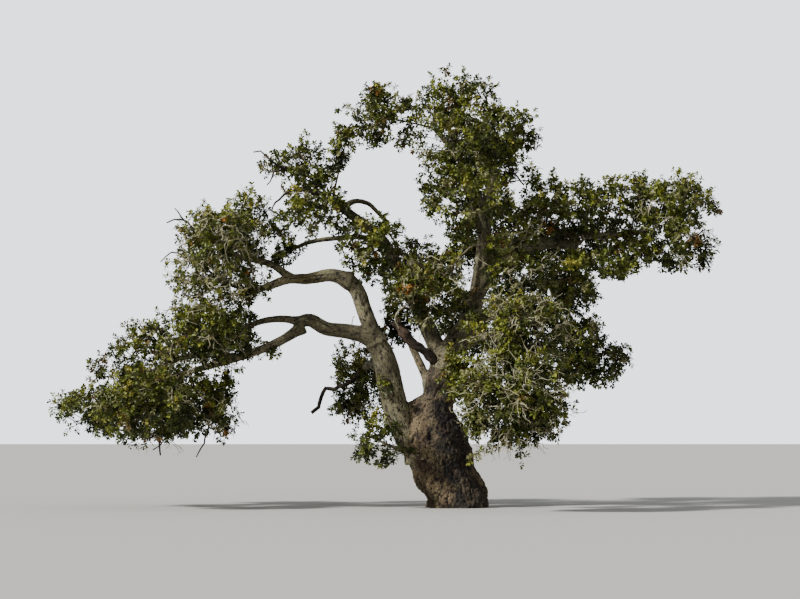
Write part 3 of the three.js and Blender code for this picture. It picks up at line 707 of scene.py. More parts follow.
def give(mesh: bpy.types.Mesh, name: str, values: np.ndarray) -> None:
    """Store one number or one vector for each vertex under a name.

    Args:
        mesh: the mesh.
        name: the name of the attribute.
        values: a number or a vector for each vertex.
    """
    flat = values.ndim == 1
    layer = mesh.attributes.new(name, "FLOAT" if flat else "FLOAT_VECTOR", "POINT")
    layer.data.foreach_set("value" if flat else "vector", np.ascontiguousarray(values, np.float32).ravel())


def corners_of(mesh: bpy.types.Mesh, what: str = "co") -> np.ndarray:
    """Read the places, or the normals, of a mesh's vertices.

    Args:
        mesh: the mesh.
        what: "co" for the places or "normal" for the normals.

    Returns:
        One row for each vertex.
    """
    values = np.empty(len(mesh.vertices) * 3, np.float32)
    mesh.vertices.foreach_get(what, values)
    return values.reshape(-1, 3)


def finish_piece(piece: bpy.types.Object, slot: str, nodes: Iterable[str] = ()) -> None:
    """Say what a piece rides on, what it stands for and which of the record's finishes it has.

    Args:
        piece: the finished piece.
        slot: the record's material slot.
        nodes: the solids that the piece replaces.
    """
    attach(piece, BODY)
    names = tuple(nodes)
    if names:
        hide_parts(*names)
    triangles = sum(len(face.vertices) - 2 for face in piece.data.polygons)
    stands_for = ", ".join(names) or "no solid"
    log.info("%s: %d triangles, slot %s, stands for %s", piece.name, triangles, slot, stands_for)


@dataclass(frozen=True)
class BarkFinish:
    """Furrowed bark: pale plates, dark furrows between them with painted shade in them, patches of lichen,
    moss on upper sides, and near-black painted shade and staining in streaks.

    A band is the two values of a pattern between which one look gives way to the next, and a share is how
    much of a look there is at the two.
    """

    name: str = "furrowed_bark"
    # Near black, in the furrows and at the cracks' edges: the furrows' own dark bark and painted shade in
    # them.
    furrow: str = "0f0b07"
    plate: str = "665e41"
    plate_pale: str = "9c9270"
    trunk_plate: str = "8f7b5a"
    trunk_red: str = "4c3a27"
    # Near black: painted shade on the trunk's shaded side and in its pits, and a darker neck, laid on in
    # streaks.
    stain: str = "0f0b08"
    dirt: str = "3c3226"
    bare: str = "a88f6c"
    lichen: str = "85835f"
    moss: str = "74652b"
    blotch_scale: float = 1.3
    blotch_band: Band = (0.38, 0.62)
    fine_scale: float = 6.3
    detail: float = 4.0
    dirt_band: Band = (0.35, 0.62)
    dirt_share: Band = (0.55, 0.0)
    lichen_scale: float = 2.6
    lichen_detail: float = 5.0
    lichen_band: Band = (0.53, 0.66)
    lichen_share: Band = (0.0, 0.75)
    lichen_off_trunk: float = 0.8
    moss_band: Band = (0.3, 0.55)
    bare_band: Band = (0.3, 0.5)
    streak_scale: float = 0.45
    streak_band: Band = (0.4, 0.66)
    streak_share: Band = (1.0, 0.3)
    shade_and_stain_most: float = 0.92
    relief_band: Band = (0.3, 0.9)
    crack_scale: float = 2.1
    crack_band: Band = (0.0, 0.13)
    crack_share: Band = (0.22, 1.0)
    crack_edge: Band = (0.0, 0.12)
    fine_rise: float = 0.6
    roughness: float = 0.93
    bump: float = 0.6
    bump_depth: float = 0.02

    def build(self) -> bpy.types.Material:
        """Make the material.

        Returns:
            The bark's material, which reads the attributes grain, relief, age, moss and bare, and the one
            that holds painted shade and staining.
        """
        bench = ShaderBench(self.name)
        grain = bench.attribute("grain").outputs["Vector"]
        relief, age, moss, stain, bare = (bench.attribute(name).outputs["Fac"] for name in
                                          ("relief", "age", "moss", "stain", "bare"))
        place = bench.add("ShaderNodeTexCoord").outputs["Object"]
        blotches = bench.step(bench.noise(place, self.blotch_scale), self.blotch_band)
        cracks = bench.add("ShaderNodeTexVoronoi", {"Vector": grain, "Scale": self.crack_scale},
                           feature="DISTANCE_TO_EDGE").outputs["Distance"]
        fine = bench.noise(grain, self.fine_scale, self.detail)
        streaks = bench.noise(grain, self.streak_scale, self.detail)
        streaks = bench.step(streaks, self.streak_band, self.streak_share)
        young = bench.mix(blotches, paint(self.plate), paint(self.plate_pale))
        old = bench.mix(blotches, paint(self.trunk_red), paint(self.trunk_plate))
        ground = bench.mix(age, young, old)
        dirty = bench.mix(bench.step(fine, self.dirt_band, self.dirt_share), ground, paint(self.dirt))
        patches = bench.noise(place, self.lichen_scale, self.lichen_detail)
        patches = bench.step(patches, self.lichen_band, self.lichen_share)
        clear = bench.math("SUBTRACT", 1.0, bench.math("MULTIPLY", age, self.lichen_off_trunk))
        grown = bench.mix(bench.math("MULTIPLY", patches, clear), dirty, paint(self.lichen))
        moss = bench.math("MULTIPLY", moss, bench.step(fine, self.moss_band))
        mossy = bench.mix(moss, grown, paint(self.moss))
        bare = bench.math("MULTIPLY", bare, bench.step(fine, self.bare_band))
        worn = bench.mix(bare, mossy, paint(self.bare))
        # Painted shade and staining: the colour turns near black in streaks where that attribute says.
        shade_and_stain_share = bench.math("MULTIPLY", stain, bench.math("MULTIPLY", streaks, self.shade_and_stain_most))
        darkened_by_shade_and_stain = bench.mix(shade_and_stain_share, worn, paint(self.stain))
        # The furrows and the cracks' edges turn near black: their own dark bark and painted shade.
        edges = bench.step(cracks, self.crack_band, self.crack_share)
        depth = bench.math("MULTIPLY", bench.step(relief, self.relief_band), edges)
        colour = bench.mix(depth, paint(self.furrow), darkened_by_shade_and_stain)
        rough = bench.math("MULTIPLY", fine, self.fine_rise)
        height = bench.math("ADD", rough, bench.step(cracks, self.crack_edge))
        feeds = {"Height": height, "Strength": self.bump, "Distance": self.bump_depth}
        normal = bench.add("ShaderNodeBump", feeds).outputs[0]
        bench.set(Base_Color=colour, Normal=normal, Roughness=self.roughness)
        return bench.material


@dataclass(frozen=True)
class TwigFinish:
    """Thin bark with a little colour of its own along each twig."""

    name: str
    light: str
    dark: str
    scale: float = 9.0
    band: Band = (0.4, 0.6)
    roughness: float = 0.9

    def build(self) -> bpy.types.Material:
        """Make the material.

        Returns:
            The twigs' material.
        """
        bench = ShaderBench(self.name)
        place = bench.add("ShaderNodeTexCoord").outputs["Object"]
        share = bench.step(bench.noise(place, self.scale), self.band)
        bench.set(Base_Color=bench.mix(share, paint(self.dark), paint(self.light)), Roughness=self.roughness)
        return bench.material


@dataclass(frozen=True)
class LeafFinish:
    """One plain leaf colour, the share of the sprays that have it, and how sunny a place it belongs to: the
    darker greens are painted shade, the lighter ones painted sunlight.
    """

    name: str
    colour: str
    share: float
    sun: float
    roughness: float = 0.45
    specular: float = 0.28

    def build(self) -> bpy.types.Material:
        """Make the material.

        Returns:
            The leaves' material.
        """
        bench = ShaderBench(f"leaf_{self.name}")
        bench.set(Base_Color=paint(self.colour), Roughness=self.roughness, Specular_IOR_Level=self.specular)
        return bench.material


# From shade to yellow the greens run from painted shade to painted sunlight, over some real spread of leaf
# colour; dusty, bronze and russet are the leaves' own colours.
LEAF_FINISHES: tuple[LeafFinish, ...] = (
    LeafFinish("shade", "252b0c", 0.2, 0.0),
    LeafFinish("deep", "333b11", 0.19, 0.2),
    LeafFinish("olive", "464d16", 0.17, 0.4),
    LeafFinish("green", "596020", 0.17, 0.6),
    LeafFinish("lit", "787d2c", 0.16, 0.85),
    LeafFinish("yellow", "989239", 0.045, 1.0),
    LeafFinish("dusty", "77764a", 0.07, 0.7),
    LeafFinish("bronze", "5c4a22", 0.03, 0.45),
    LeafFinish("russet", "94692f", 0.004, 0.6),
)
RUSSET = len(LEAF_FINISHES) - 1


@dataclass
class TwigBundle:
    """Thin twigs, each a row of places with a radius at each."""

    rows: list[np.ndarray] = field(default_factory=list)
    radii: list[np.ndarray] = field(default_factory=list)

    def add(self, row: np.ndarray, radii: np.ndarray) -> None:
        """Add one twig."""
        self.rows.append(row)
        self.radii.append(radii)

    def mesh(self, name: str) -> bpy.types.Mesh:
        """Give all the twigs as rows of edges with a radius at each place.

        Args:
            name: the mesh's name.

        Returns:
            The mesh.
        """
        counts = [len(row) for row in self.rows]
        starts = np.concatenate([[0], np.cumsum(counts)[:-1]])
        steps = [start + n for start, count in zip(starts.tolist(), counts) for n in range(count - 1)]
        edges = [(step, step + 1) for step in steps]
        mesh = mesh_of(name, np.vstack(self.rows), edges)
        give(mesh, "radius_here", np.concatenate(self.radii))
        return mesh


def twig_recipe(name: str, material: bpy.types.Material, sides: int) -> ShapeBench:
    """Make the tree that turns rows of edges into twigs of a few sides.

    Args:
        name: the tree's name.
        material: what the twigs are dressed in.
        sides: how many sides each twig has.

    Returns:
        The finished tree.
    """
    bench = ShapeBench(name, {"Sides": sides, "Material": material})
    lines = bench.add("GeometryNodeMeshToCurve", {"Mesh": bench.given["Geometry"]}).outputs[0]
    ring = bench.add("GeometryNodeCurvePrimitiveCircle", {"Resolution": bench.given["Sides"], "Radius": 1.0})
    feeds = {"Curve": lines, "Profile Curve": ring.outputs[0], "Scale": bench.named("radius_here"),
             "Fill Caps": True}
    bench.close(bench.add("GeometryNodeCurveToMesh", feeds).outputs[0])
    return bench


@dataclass
class LeafBundle:
    """Leaves, each with its root, the way that it points, the way that its face looks and its length."""

    roots: list[np.ndarray] = field(default_factory=list)
    ways: list[np.ndarray] = field(default_factory=list)
    faces: list[np.ndarray] = field(default_factory=list)
    sizes: list[np.ndarray] = field(default_factory=list)

    def add(self, roots: np.ndarray, ways: np.ndarray, faces: np.ndarray, sizes: np.ndarray) -> None:
        """Add one spray of leaves.

        Args:
            roots: where each leaf starts.
            ways: where each points.
            faces: where the face of each looks.
            sizes: how long each is.
        """
        self.roots.append(roots)
        self.ways.append(ways)
        self.faces.append(faces)
        self.sizes.append(sizes)

    def mesh(self, name: str) -> bpy.types.Mesh:
        """Give all the leaves as loose points that hold their directions and lengths.

        Args:
            name: the mesh's name.

        Returns:
            The mesh.
        """
        mesh = mesh_of(name, np.vstack(self.roots))
        give(mesh, "way", np.vstack(self.ways))
        give(mesh, "face", np.vstack(self.faces))
        give(mesh, "size", np.concatenate(self.sizes))
        return mesh


@dataclass(frozen=True)
class LeafShape:
    """A small blade of four faces and of unit length, broad towards its tip and folded along its rib."""

    half_outline: tuple[tuple[float, float], ...] = ((0.3, 0.22), (0.72, 0.3))
    edge_rise: float = 0.08
    tip_fall: float = -0.1

    def build(self) -> bpy.types.Object:
        """Make the blade along +X, with its face to +Z.

        Returns:
            The blade's object.
        """
        rib = [(0.0, 0.0, 0.0), (1.0, 0.0, self.tip_fall)]
        sides = [(along, hand * aside, self.edge_rise)
                 for hand in (1, -1) for along, aside in self.half_outline]
        faces = [(0, 1, 2), (1, 3, 2), (0, 4, 1), (1, 4, 5)]
        mesh = mesh_of("leaf_blade", np.array(rib + sides), (), faces)
        return link(bpy.data.objects.new("leaf_blade", mesh))


@dataclass(frozen=True)
class ShootShape:
    """A slender three-sided shoot of unit length."""

    radius: float = 0.028

    def build(self) -> bpy.types.Object:
        """Make the shoot along +X.

        Returns:
            The shoot's object.
        """
        ring = [(0.0, self.radius * math.cos(turn), self.radius * math.sin(turn))
                for turn in (0, math.tau / 3, 2 * math.tau / 3)]
        faces = [(0, 2, 1), (0, 1, 3), (1, 2, 3), (2, 0, 3)]
        mesh = mesh_of("shoot_spike", np.array([*ring, (1.0, 0.0, 0.0)]), (), faces)
        return link(bpy.data.objects.new("shoot_spike", mesh))


def spray_recipe(name: str, material: bpy.types.Material, shape: bpy.types.Object) -> ShapeBench:
    """Make the tree that sets a leaf or a shoot on each point.

    Args:
        name: the tree's name.
        material: what the leaves or shoots are dressed in.
        shape: the leaf or shoot to set out.

    Returns:
        The finished tree.
    """
    bench = ShapeBench(name, {"Shape": shape, "Material": material})
    shape = bench.add("GeometryNodeObjectInfo", {"Object": bench.given["Shape"]}).outputs["Geometry"]
    way, face = bench.named("way", "FLOAT_VECTOR"), bench.named("face", "FLOAT_VECTOR")
    turn = bench.add("FunctionNodeAxesToRotation", {"Primary Axis": way, "Secondary Axis": face},
                     primary_axis="X", secondary_axis="Z").outputs[0]
    feeds = {"Points": bench.given["Geometry"], "Instance": shape, "Rotation": turn,
             "Scale": bench.named("size")}
    bench.close(bench.add("GeometryNodeInstanceOnPoints", feeds).outputs[0])
    return bench


# Where the view of the open side is from.
VIEW_X = -1.4
VIEW_Z = 2.05
VIEW_DISTANCE = 60.0
WINDOW_SQUARENESS = 4


@dataclass(frozen=True)
class SkyWindow:
    """A gap in the crown, seen from the open side: right through it, or only in front of a limb."""

    left: float
    right: float
    low: float
    high: float
    in_front_of: float = math.inf

    def holds(self, places: np.ndarray) -> np.ndarray:
        """Tell for each place whether it shows inside the gap's rounded outline.

        Args:
            places: the places to test.

        Returns:
            One truth value for each place.
        """
        nearer = VIEW_DISTANCE / (VIEW_DISTANCE + places[:, 1])
        seen_x = (places[:, 0] - VIEW_X) * nearer + VIEW_X
        seen_z = (places[:, 2] - VIEW_Z) * nearer + VIEW_Z
        across = (seen_x - (self.left + self.right) / 2) / ((self.right - self.left) / 2)
        rise = (seen_z - (self.low + self.high) / 2) / ((self.high - self.low) / 2)
        inside = across**WINDOW_SQUARENESS + rise**WINDOW_SQUARENESS < 1
        return inside & (places[:, 1] < self.in_front_of)


SKY_WINDOWS: tuple[SkyWindow, ...] = (
    SkyWindow(-4.7, -2.4, 4.7, 5.55),
    SkyWindow(-3.95, -3.0, 2.4, 4.25),
    SkyWindow(-1.5, -1.0, 3.4, 4.0),
    SkyWindow(-2.85, -1.25, 7.3, 8.95),
    SkyWindow(-1.35, -0.95, 6.95, 8.85),
    SkyWindow(-4.8, -4.25, 7.4, 8.2),
    SkyWindow(-3.95, -2.95, 5.95, 6.55),
    SkyWindow(-2.35, -1.85, 4.95, 5.55),
    SkyWindow(-3.3, -2.3, 10.0, 10.9),
    SkyWindow(-9.6, -8.5, 3.9, 4.8),
    SkyWindow(-6.6, -5.6, 8.0, 9.0),
    SkyWindow(3.65, 4.75, 4.05, 5.2),
    SkyWindow(-10.2, -9.35, 2.78, 3.5),
    SkyWindow(6.1, 6.9, 6.75, 7.3),
    SkyWindow(2.45, 3.2, 6.95, 7.3),
    SkyWindow(3.45, 4.9, 5.2, 5.75),
    SkyWindow(0.62, 1.0, 4.2, 4.72),
    SkyWindow(-0.72, -0.12, 8.88, 9.36),
    SkyWindow(0.5, 0.8, 4.6, 6.2, 0.0),
    SkyWindow(0.55, 0.85, 6.0, 8.3, 0.0),
    SkyWindow(1.25, 3.4, 6.35, 6.65, 0.0),
    SkyWindow(-1.75, -1.35, 5.9, 6.9, 0.7),
)


def in_sky(places: np.ndarray) -> np.ndarray:
    """Tell for each place whether it shows in one of the gaps."""
    return np.any([window.holds(places) for window in SKY_WINDOWS], axis=0)


class Space:
    """The space of one mass: its ellipsoid, and its own side of the plane to each other mass."""

    CLEAR = 0.002
    LUMP_SCALE = 1.75
    LUMP_SOFTNESS = 0.3
    TRIALS = 600
    TRIES = 3

    def __init__(self, own: MassPlan | SprigPlan, others: Sequence[MassPlan] = ()) -> None:
        """Work out the walls between this mass and the others.

        Args:
            own: the plan of the mass or of the sprig.
            others: the plans of the other masses.
        """
        self.middle = np.array(own.middle)
        self.half = np.array(own.half)
        away = np.array([plan.middle for plan in others]).reshape(-1, 3) - self.middle
        self.outward = unit(away)
        mine = self.reach_of(self.half, self.outward)
        theirs = self.reach_of(np.array([plan.half for plan in others]).reshape(-1, 3), self.outward)
        self.limits = np.linalg.norm(away, axis=1) * mine / (mine + theirs) - self.CLEAR

    @staticmethod
    def reach_of(half: np.ndarray, direction: np.ndarray) -> np.ndarray:
        """Give how far an ellipsoid reaches from its middle in a direction."""
        return 1 / np.linalg.norm(direction / half, axis=-1)

    def reach(self, direction: np.ndarray) -> float:
        """Give how far the space's own ellipsoid reaches in a direction."""
        return float(self.reach_of(self.half, direction))

    def inside(self, places: np.ndarray, edge: float) -> np.ndarray:
        """Tell for each place whether it lies in the space and out of the gaps.

        Args:
            places: the places to test.
            edge: how far in from the edge of the space they have to lie.

        Returns:
            One truth value for each place.
        """
        offset = places - self.middle
        near = np.linalg.norm(offset / (self.half - edge), axis=1) <= 1
        return near & np.all(offset @ self.outward.T < self.limits - edge, axis=1) & ~in_sky(places)

    def scatter(self, count: int, edge: float, fine: np.random.Generator) -> np.ndarray:
        """Draw places in the ellipsoid, inside the space or not."""
        ball = unit(fine.normal(size=(count, 3))) * fine.random((count, 1)) ** (1 / 3)
        return self.middle + ball * (self.half - edge)

    def room(self, fine: np.random.Generator) -> float:
        """Give how many cubic metres of the space may hold leaves."""
        share = self.inside(self.scatter(self.TRIALS, 0.0, fine), 0.0).mean()
        return float(share * 4 / 3 * math.pi * self.half.prod())

    def spread(self, count: int, edge: float, lumps: float, fine: np.random.Generator) -> np.ndarray:
        """Spread places through the space, each the farthest of a few tries from those before it.

        Args:
            count: how many places.
            edge: how far in from the edge of the space they lie.
            lumps: how strongly they gather in lumps, from 0, not at all, to 1.
            fine: the mass's row of random numbers.

        Returns:
            The places.
        """
        drawn = np.empty((0, 3))
        while len(drawn) < count * self.TRIES:
            places = self.scatter(count * self.TRIES, edge, fine)
            places = places[self.inside(places, edge)]
            hollow = np.array([noise.noise(Vector(place * self.LUMP_SCALE)) for place in places])
            least = fine.random(len(places)) * self.LUMP_SOFTNESS - 1 + lumps
            drawn = np.vstack([drawn, places[hollow > least]])
        chosen = drawn[: min(count, 1)]
        for n in range(1, count):
            few = drawn[n * self.TRIES : (n + 1) * self.TRIES]
            gaps = np.linalg.norm(few[:, None] - chosen, axis=2).min(axis=1)
            chosen = np.vstack([chosen, few[gaps.argmax()]])
        return chosen


class Wood:
    """The wood of one mass so far: places along it, and the way that it grows there."""

    REACH_BACK = 0.4
    NEAREST = 1e-6

    def __init__(self) -> None:
        """Start with no wood."""
        self.places = np.empty((0, 3))
        self.runs = np.empty((0, 3))

    def add(self, row: np.ndarray) -> None:
        """Add a twig's places.

        Args:
            row: the places along the twig.
        """
        steps = np.diff(row, axis=0)
        self.places = np.vstack([self.places, row[:-1] + steps / 2, row[-1:]])
        self.runs = np.vstack([self.runs, unit(steps), unit(steps[-1:])])

    def leave_for(self, target: np.ndarray) -> tuple[np.ndarray, np.ndarray]:
        """Pick where a twig leaves for a place: near it, and where the wood grows towards it.

        Args:
            target: where the twig is to end.

        Returns:
            The place where it leaves and the way that the wood grows there.
        """
        away = target - self.places
        far = np.linalg.norm(away, axis=1)
        ahead = (away * self.runs).sum(1) / np.maximum(far, self.NEAREST)
        best = np.argmin(far * (1 + self.REACH_BACK - self.REACH_BACK * ahead))
        return self.places[best], self.runs[best]


@dataclass(frozen=True)
class RussetSpot:
    """A place, seen from the open side, where the sprays are dead or turning."""

    x: float
    z: float
    radius: float
    back: float = 0.4

    def holds(self, place: np.ndarray) -> bool:
        """Tell whether a place shows inside the spot."""
        return math.hypot(place[0] - self.x, place[2] - self.z) < self.radius and place[1] < self.back


RUSSET_SPOTS: tuple[RussetSpot, ...] = (
    RussetSpot(-0.75, 5.4, 0.15),
    RussetSpot(-1.32, 5.38, 0.13),
    RussetSpot(-0.7, 8.25, 0.14),
    RussetSpot(2.45, 7.35, 0.1),
    RussetSpot(-6.15, 2.65, 0.12),
    RussetSpot(-4.85, 6.6, 0.1),
    RussetSpot(-6.55, 6.55, 0.1),
)


class StemRow(Enum):
    """How the stems of the masses on one tip are set out."""

    ALONE = 0.8
    SHARED = 0.42


@dataclass(frozen=True)
class StemRule:
    """How a mass's stem leaves its bough's tip, as the solids have it."""

    sunk: float = 0.06
    beside: float = 0.52
    lead: float = 0.2
    bare: float = 0.45
    last_twig: float = 0.95
    leaf: float = 1.1
    leaf_most: float = 0.6
    reach: float = 0.98
    tip: float = 0.006
    taper: float = 0.9
    places: int = 14
    wood_places: int = 12


@dataclass(frozen=True)
class TwigRule:
    """How the twigs of a mass are set out, as the solids have it."""

    count: int = 7
    share: float = 0.5
    tip: float = 0.024
    bow: float = 0.2
    draws_after_bow: int = 9
    wood_end: float = 0.85
    taper: float = 0.8
    places: int = 12
    sure_places: int = 4
    end_places: int = 5


@dataclass(frozen=True)
class FineRule:
    """How one order of finer twigs reaches out to places spread through its mass."""

    per_cubic_metre: float
    edge: float
    lumps: float
    foot: float
    tip: float
    places: int
    bend: float
    edge_most: float = 0.4
    outwards: float = 0.8
    upwards: float = 0.15
    sway: float = 0.06


@dataclass(frozen=True)
class SprigRule:
    """How the twig of a small sprig runs from its foot to the middle of its space."""

    sway: float = 0.1
    foot: float = 0.012
    foot_by_length: float = 0.014
    tip: float = 0.01
    places: int = 8


@dataclass(frozen=True)
class SprayRule:
    """How the shoots of a spray are set out along the end of its twig."""

    shoots: int = 5
    stretch: float = 0.36
    length: float = 0.16
    length_varies: Band = (0.65, 1.15)
    forward: float = 0.5
    end_on: int = 6
    end_inwards: float = 0.75
    lift: float = 0.6
    unruly: float = 0.18
    own_tint: float = 0.7


@dataclass(frozen=True)
class LeafRule:
    """How the leaves are set along a shoot."""

    count: int = 9
    first: float = 0.22
    crowding: float = 0.8
    turn_varies: float = 0.25
    forward: float = 0.25
    tip_forward: float = 0.85
    tip_sharp: int = 3
    forward_varies: float = 0.2
    unruly: float = 0.15
    face_up: float = 0.9
    face_forward: float = 0.25
    face_inwards: float = 0.15
    face_varies: float = 0.4
    length: float = 0.09
    length_varies: float = 0.45


@dataclass(frozen=True)
class TintRule:
    """How sunny a spray's place is, from its mass and from where it stands in it: it sets the painted light
    and shade in its leaf colours, lighter towards the top, the outside and the left, the side of the sun.
    """

    plain: float = 0.22
    by_mass: float = 0.35
    upwards: float = 0.3
    outwards: float = 0.15
    leftwards: float = 0.12
    spread: float = 0.4
    russet_share: float = 0.5


@dataclass(frozen=True)
class GreyRule:
    """How the bare twigs under lichen stand out of a mass, and how they fork twice."""

    edge: float = -0.06
    lumps: float = 0.5
    choice: int = 2
    depth_varies: float = 0.3
    places: int = 7
    radii: Band = (0.018, 0.009)
    first_fork: int = 2
    forward: float = 0.6
    unruly: float = 0.7
    hang: float = 0.25
    side_length: Band = (0.14, 0.42)
    side_places: int = 4
    side_radii: Band = (0.011, 0.006)
    spike_at: int = 2
    spike_unruly: float = 0.8
    spike_hang: float = 0.2
    spike_length: Band = (0.06, 0.16)
    spike_radii: Band = (0.006, 0.004)


@dataclass
class Crown:
    """The masses of leaves: stems and twigs by the solids' rule, carried on to sprays, shoots and leaves."""

    stem_rule: StemRule = StemRule()
    twig_rule: TwigRule = TwigRule()
    branch_rule: FineRule = FineRule(5.0, 0.3, 0.45, 0.015, 0.007, 7, 0.5)
    side_rule: FineRule = FineRule(19.0, 0.06, 0.82, 0.007, 0.004, 4, 0.35)
    stray_rule: FineRule = FineRule(0.0, -0.13, 0.85, 0.007, 0.004, 4, 0.35)
    stray_share: float = 0.1
    sprig_rule: SprigRule = SprigRule()
    spray_rule: SprayRule = SprayRule()
    leaf_rule: LeafRule = LeafRule()
    tint_rule: TintRule = TintRule()
    grey_rule: GreyRule = GreyRule()
    stem_finish: TwigFinish = TwigFinish("stem_bark", light="7c715b", dark="3a3124")
    twig_finish: TwigFinish = TwigFinish("twig_bark", light="6b5f49", dark="302920")
    grey_finish: TwigFinish = TwigFinish("lichen_bark", light="b5b08e", dark="857e60")
    stem_sides: int = 8
    twig_sides: int = 3
    stems: TwigBundle = field(default_factory=TwigBundle)
    twigs: TwigBundle = field(default_factory=TwigBundle)
    grey: TwigBundle = field(default_factory=TwigBundle)
    shoots: LeafBundle = field(default_factory=LeafBundle)
    leaves: list[LeafBundle] = field(default_factory=lambda: [LeafBundle() for _ in LEAF_FINISHES])

    def seat(self, plan: MassPlan) -> tuple[np.ndarray, np.ndarray, float]:
        """Give where a mass's stem starts, the way that it leaves, and the radius of what carries it.

        Args:
            plan: the mass's plan.

        Returns:
            The place, the direction and the radius.
        """
        if plan.foot:
            return np.array(plan.foot.at), unit(np.array(plan.foot.towards)), plan.foot.radius
        bough = BOUGHS[plan.on]
        return bough.curve.place(1), bough.curve.run(1), bough.tip

    def stem(self, name: str, space: Space) -> tuple[LimbCurve, float, float]:
        """Lead a mass's stem from its bough's tip through the middle of its space.

        Args:
            name: the mass.
            space: its space.

        Returns:
            The stem's centre line, its foot's radius, and the share of it below its last leaves.
        """
        rule, plan = self.stem_rule, MASSES[name]
        tip, direction, radius = self.seat(plan)
        sharing = [np.array(other.middle) for other in MASSES.values() if other.on == plan.on]
        row = StemRow.ALONE if len(sharing) == 1 else StemRow.SHARED
        beside = space.middle - np.mean(sharing, axis=0)
        beside = beside - direction * (beside @ direction)
        beside = np.zeros(3) if row is StemRow.ALONE else unit(beside) * radius * rule.beside
        start = tip + beside
        heading = unit(space.middle - start)
        lead = unit(direction + beside / radius)
        led = start + lead * rule.lead * np.linalg.norm(space.middle - start) + heading * rule.sunk
        end = space.middle + heading * space.reach(heading) * rule.reach
        sunk = direction * rule.sunk
        curve = LimbCurve([start - sunk, start + sunk, led, space.middle, end])
        bare = 1 - min(rule.leaf / curve.length, rule.leaf_most)
        return curve, radius * row.value, bare

    def grow(self, name: str, seed: int) -> None:
        """Grow one mass.

        Args:
            name: the mass.
            seed: its place in the row of masses, from 1.
        """
        plan, rule = MASSES[name], self.twig_rule
        space, wood = Space(plan, [other for other in MASSES.values() if other is not plan]), Wood()
        curve, foot, bare = self.stem(name, space)
        stems = self.stem_rule
        shares = np.linspace(0, rule.wood_end, stems.places)
        self.stems.add(curve.places(shares), blend(foot, stems.tip, shares**stems.taper))
        wood.add(curve.places(np.linspace(bare * stems.bare, rule.wood_end, stems.wood_places)))
        fine = np.random.default_rng(seed)
        for end in self.grow_twigs(curve, foot, bare, space, wood, SeededRandom(seed)):
            self.dress(end, plan, space, fine)
        self.fill(plan, space, wood, fine)
        self.grow_grey(plan.grey_twigs, space, wood, fine)

    def fill(self, plan: MassPlan | SprigPlan, space: Space, wood: Wood, fine: np.random.Generator) -> None:
        """Fill a space with branches and, at the ends of their own side twigs, with sprays of leaves.

        Args:
            plan: the mass or the sprig.
            space: its space.
            wood: its wood so far.
            fine: its row of random numbers.
        """
        room = space.room(fine)
        branches = max(1, round(self.branch_rule.per_cubic_metre * room))
        for side in self.reach_out(self.branch_rule, branches, space, wood, fine):
            wood.add(side)
        count = round(self.side_rule.per_cubic_metre * room * plan.fullness)
        for side in self.reach_out(self.side_rule, count, space, wood, fine):
            self.dress(side, plan, space, fine)
        for side in self.reach_out(self.stray_rule, round(self.stray_share * count), space, wood, fine):
            self.dress(side, plan, space, fine)

    def grow_sprig(self, plan: SprigPlan, seed: int) -> None:
        """Grow one small sprig from the wood near its foot.

        Args:
            plan: the sprig's plan.
            seed: its place in the row of masses and sprigs.
        """
        rule, space, wood, fine = self.sprig_rule, Space(plan), Wood(), np.random.default_rng(seed)
        foot = np.array(plan.foot)
        length = float(np.linalg.norm(space.middle - foot))
        bend = (foot + space.middle) / 2 + fine.normal(0, rule.sway, 3) * length
        row = bent_row(foot, bend, space.middle, rule.places)
        self.twigs.add(row, np.linspace(rule.foot + rule.foot_by_length * length, rule.tip, len(row)))
        wood.add(row)
        self.fill(plan, space, wood, fine)

    def grow_twigs(self, curve: LimbCurve, foot: float, bare: float, space: Space, wood: Wood,
                   random: SeededRandom) -> list[np.ndarray]:
        """Grow the twigs that the solids have too, as far as they stay in the mass's space.

        Args:
            curve: the stem's centre line.
            foot: the stem's radius at its foot.
            bare: the share of the stem below its last leaves.
            space: the mass's space.
            wood: the mass's wood, to which the twigs are added.
            random: the row of numbers that the solids draw from.

        Returns:
            The last places of each twig.
        """
        rule, stems, ends = self.twig_rule, self.stem_rule, []
        heading = curve.run(1)
        spin = random() * math.tau
        for k in range(rule.count):
            level = 1 - 2 * (k + 0.5) / rule.count
            turn = spin + k * GOLDEN_ANGLE
            flat = math.sqrt(1 - level * level)
            outward = np.array([flat * math.cos(turn), flat * math.sin(turn), level])
            end = space.middle + outward * space.reach(outward) * stems.reach
            leave = blend(stems.bare, stems.last_twig, (outward @ heading + 1) / 2) * bare
            start = curve.place(leave)
            bow = np.array([random() - 0.5, random() - 0.5, random()])
            for _ in range(rule.draws_after_bow):
                random()
            bend = (start + end) / 2 + bow * rule.bow * np.linalg.norm(end - start)
            row = LimbCurve([start, bend, end]).places(np.linspace(0, rule.wood_end, rule.places))
            outside = np.flatnonzero(~space.inside(row, 0.0) & (np.arange(len(row)) >= rule.sure_places))
            row = row[: outside[0]] if len(outside) else row
            radius = blend(foot, rule.tip, leave / bare) * rule.share
            radii = np.linspace(radius**rule.taper, stems.tip**rule.taper, len(row)) ** (1 / rule.taper)
            self.twigs.add(row, radii)
            wood.add(row)
            ends.append(row[-rule.end_places :])
        return ends

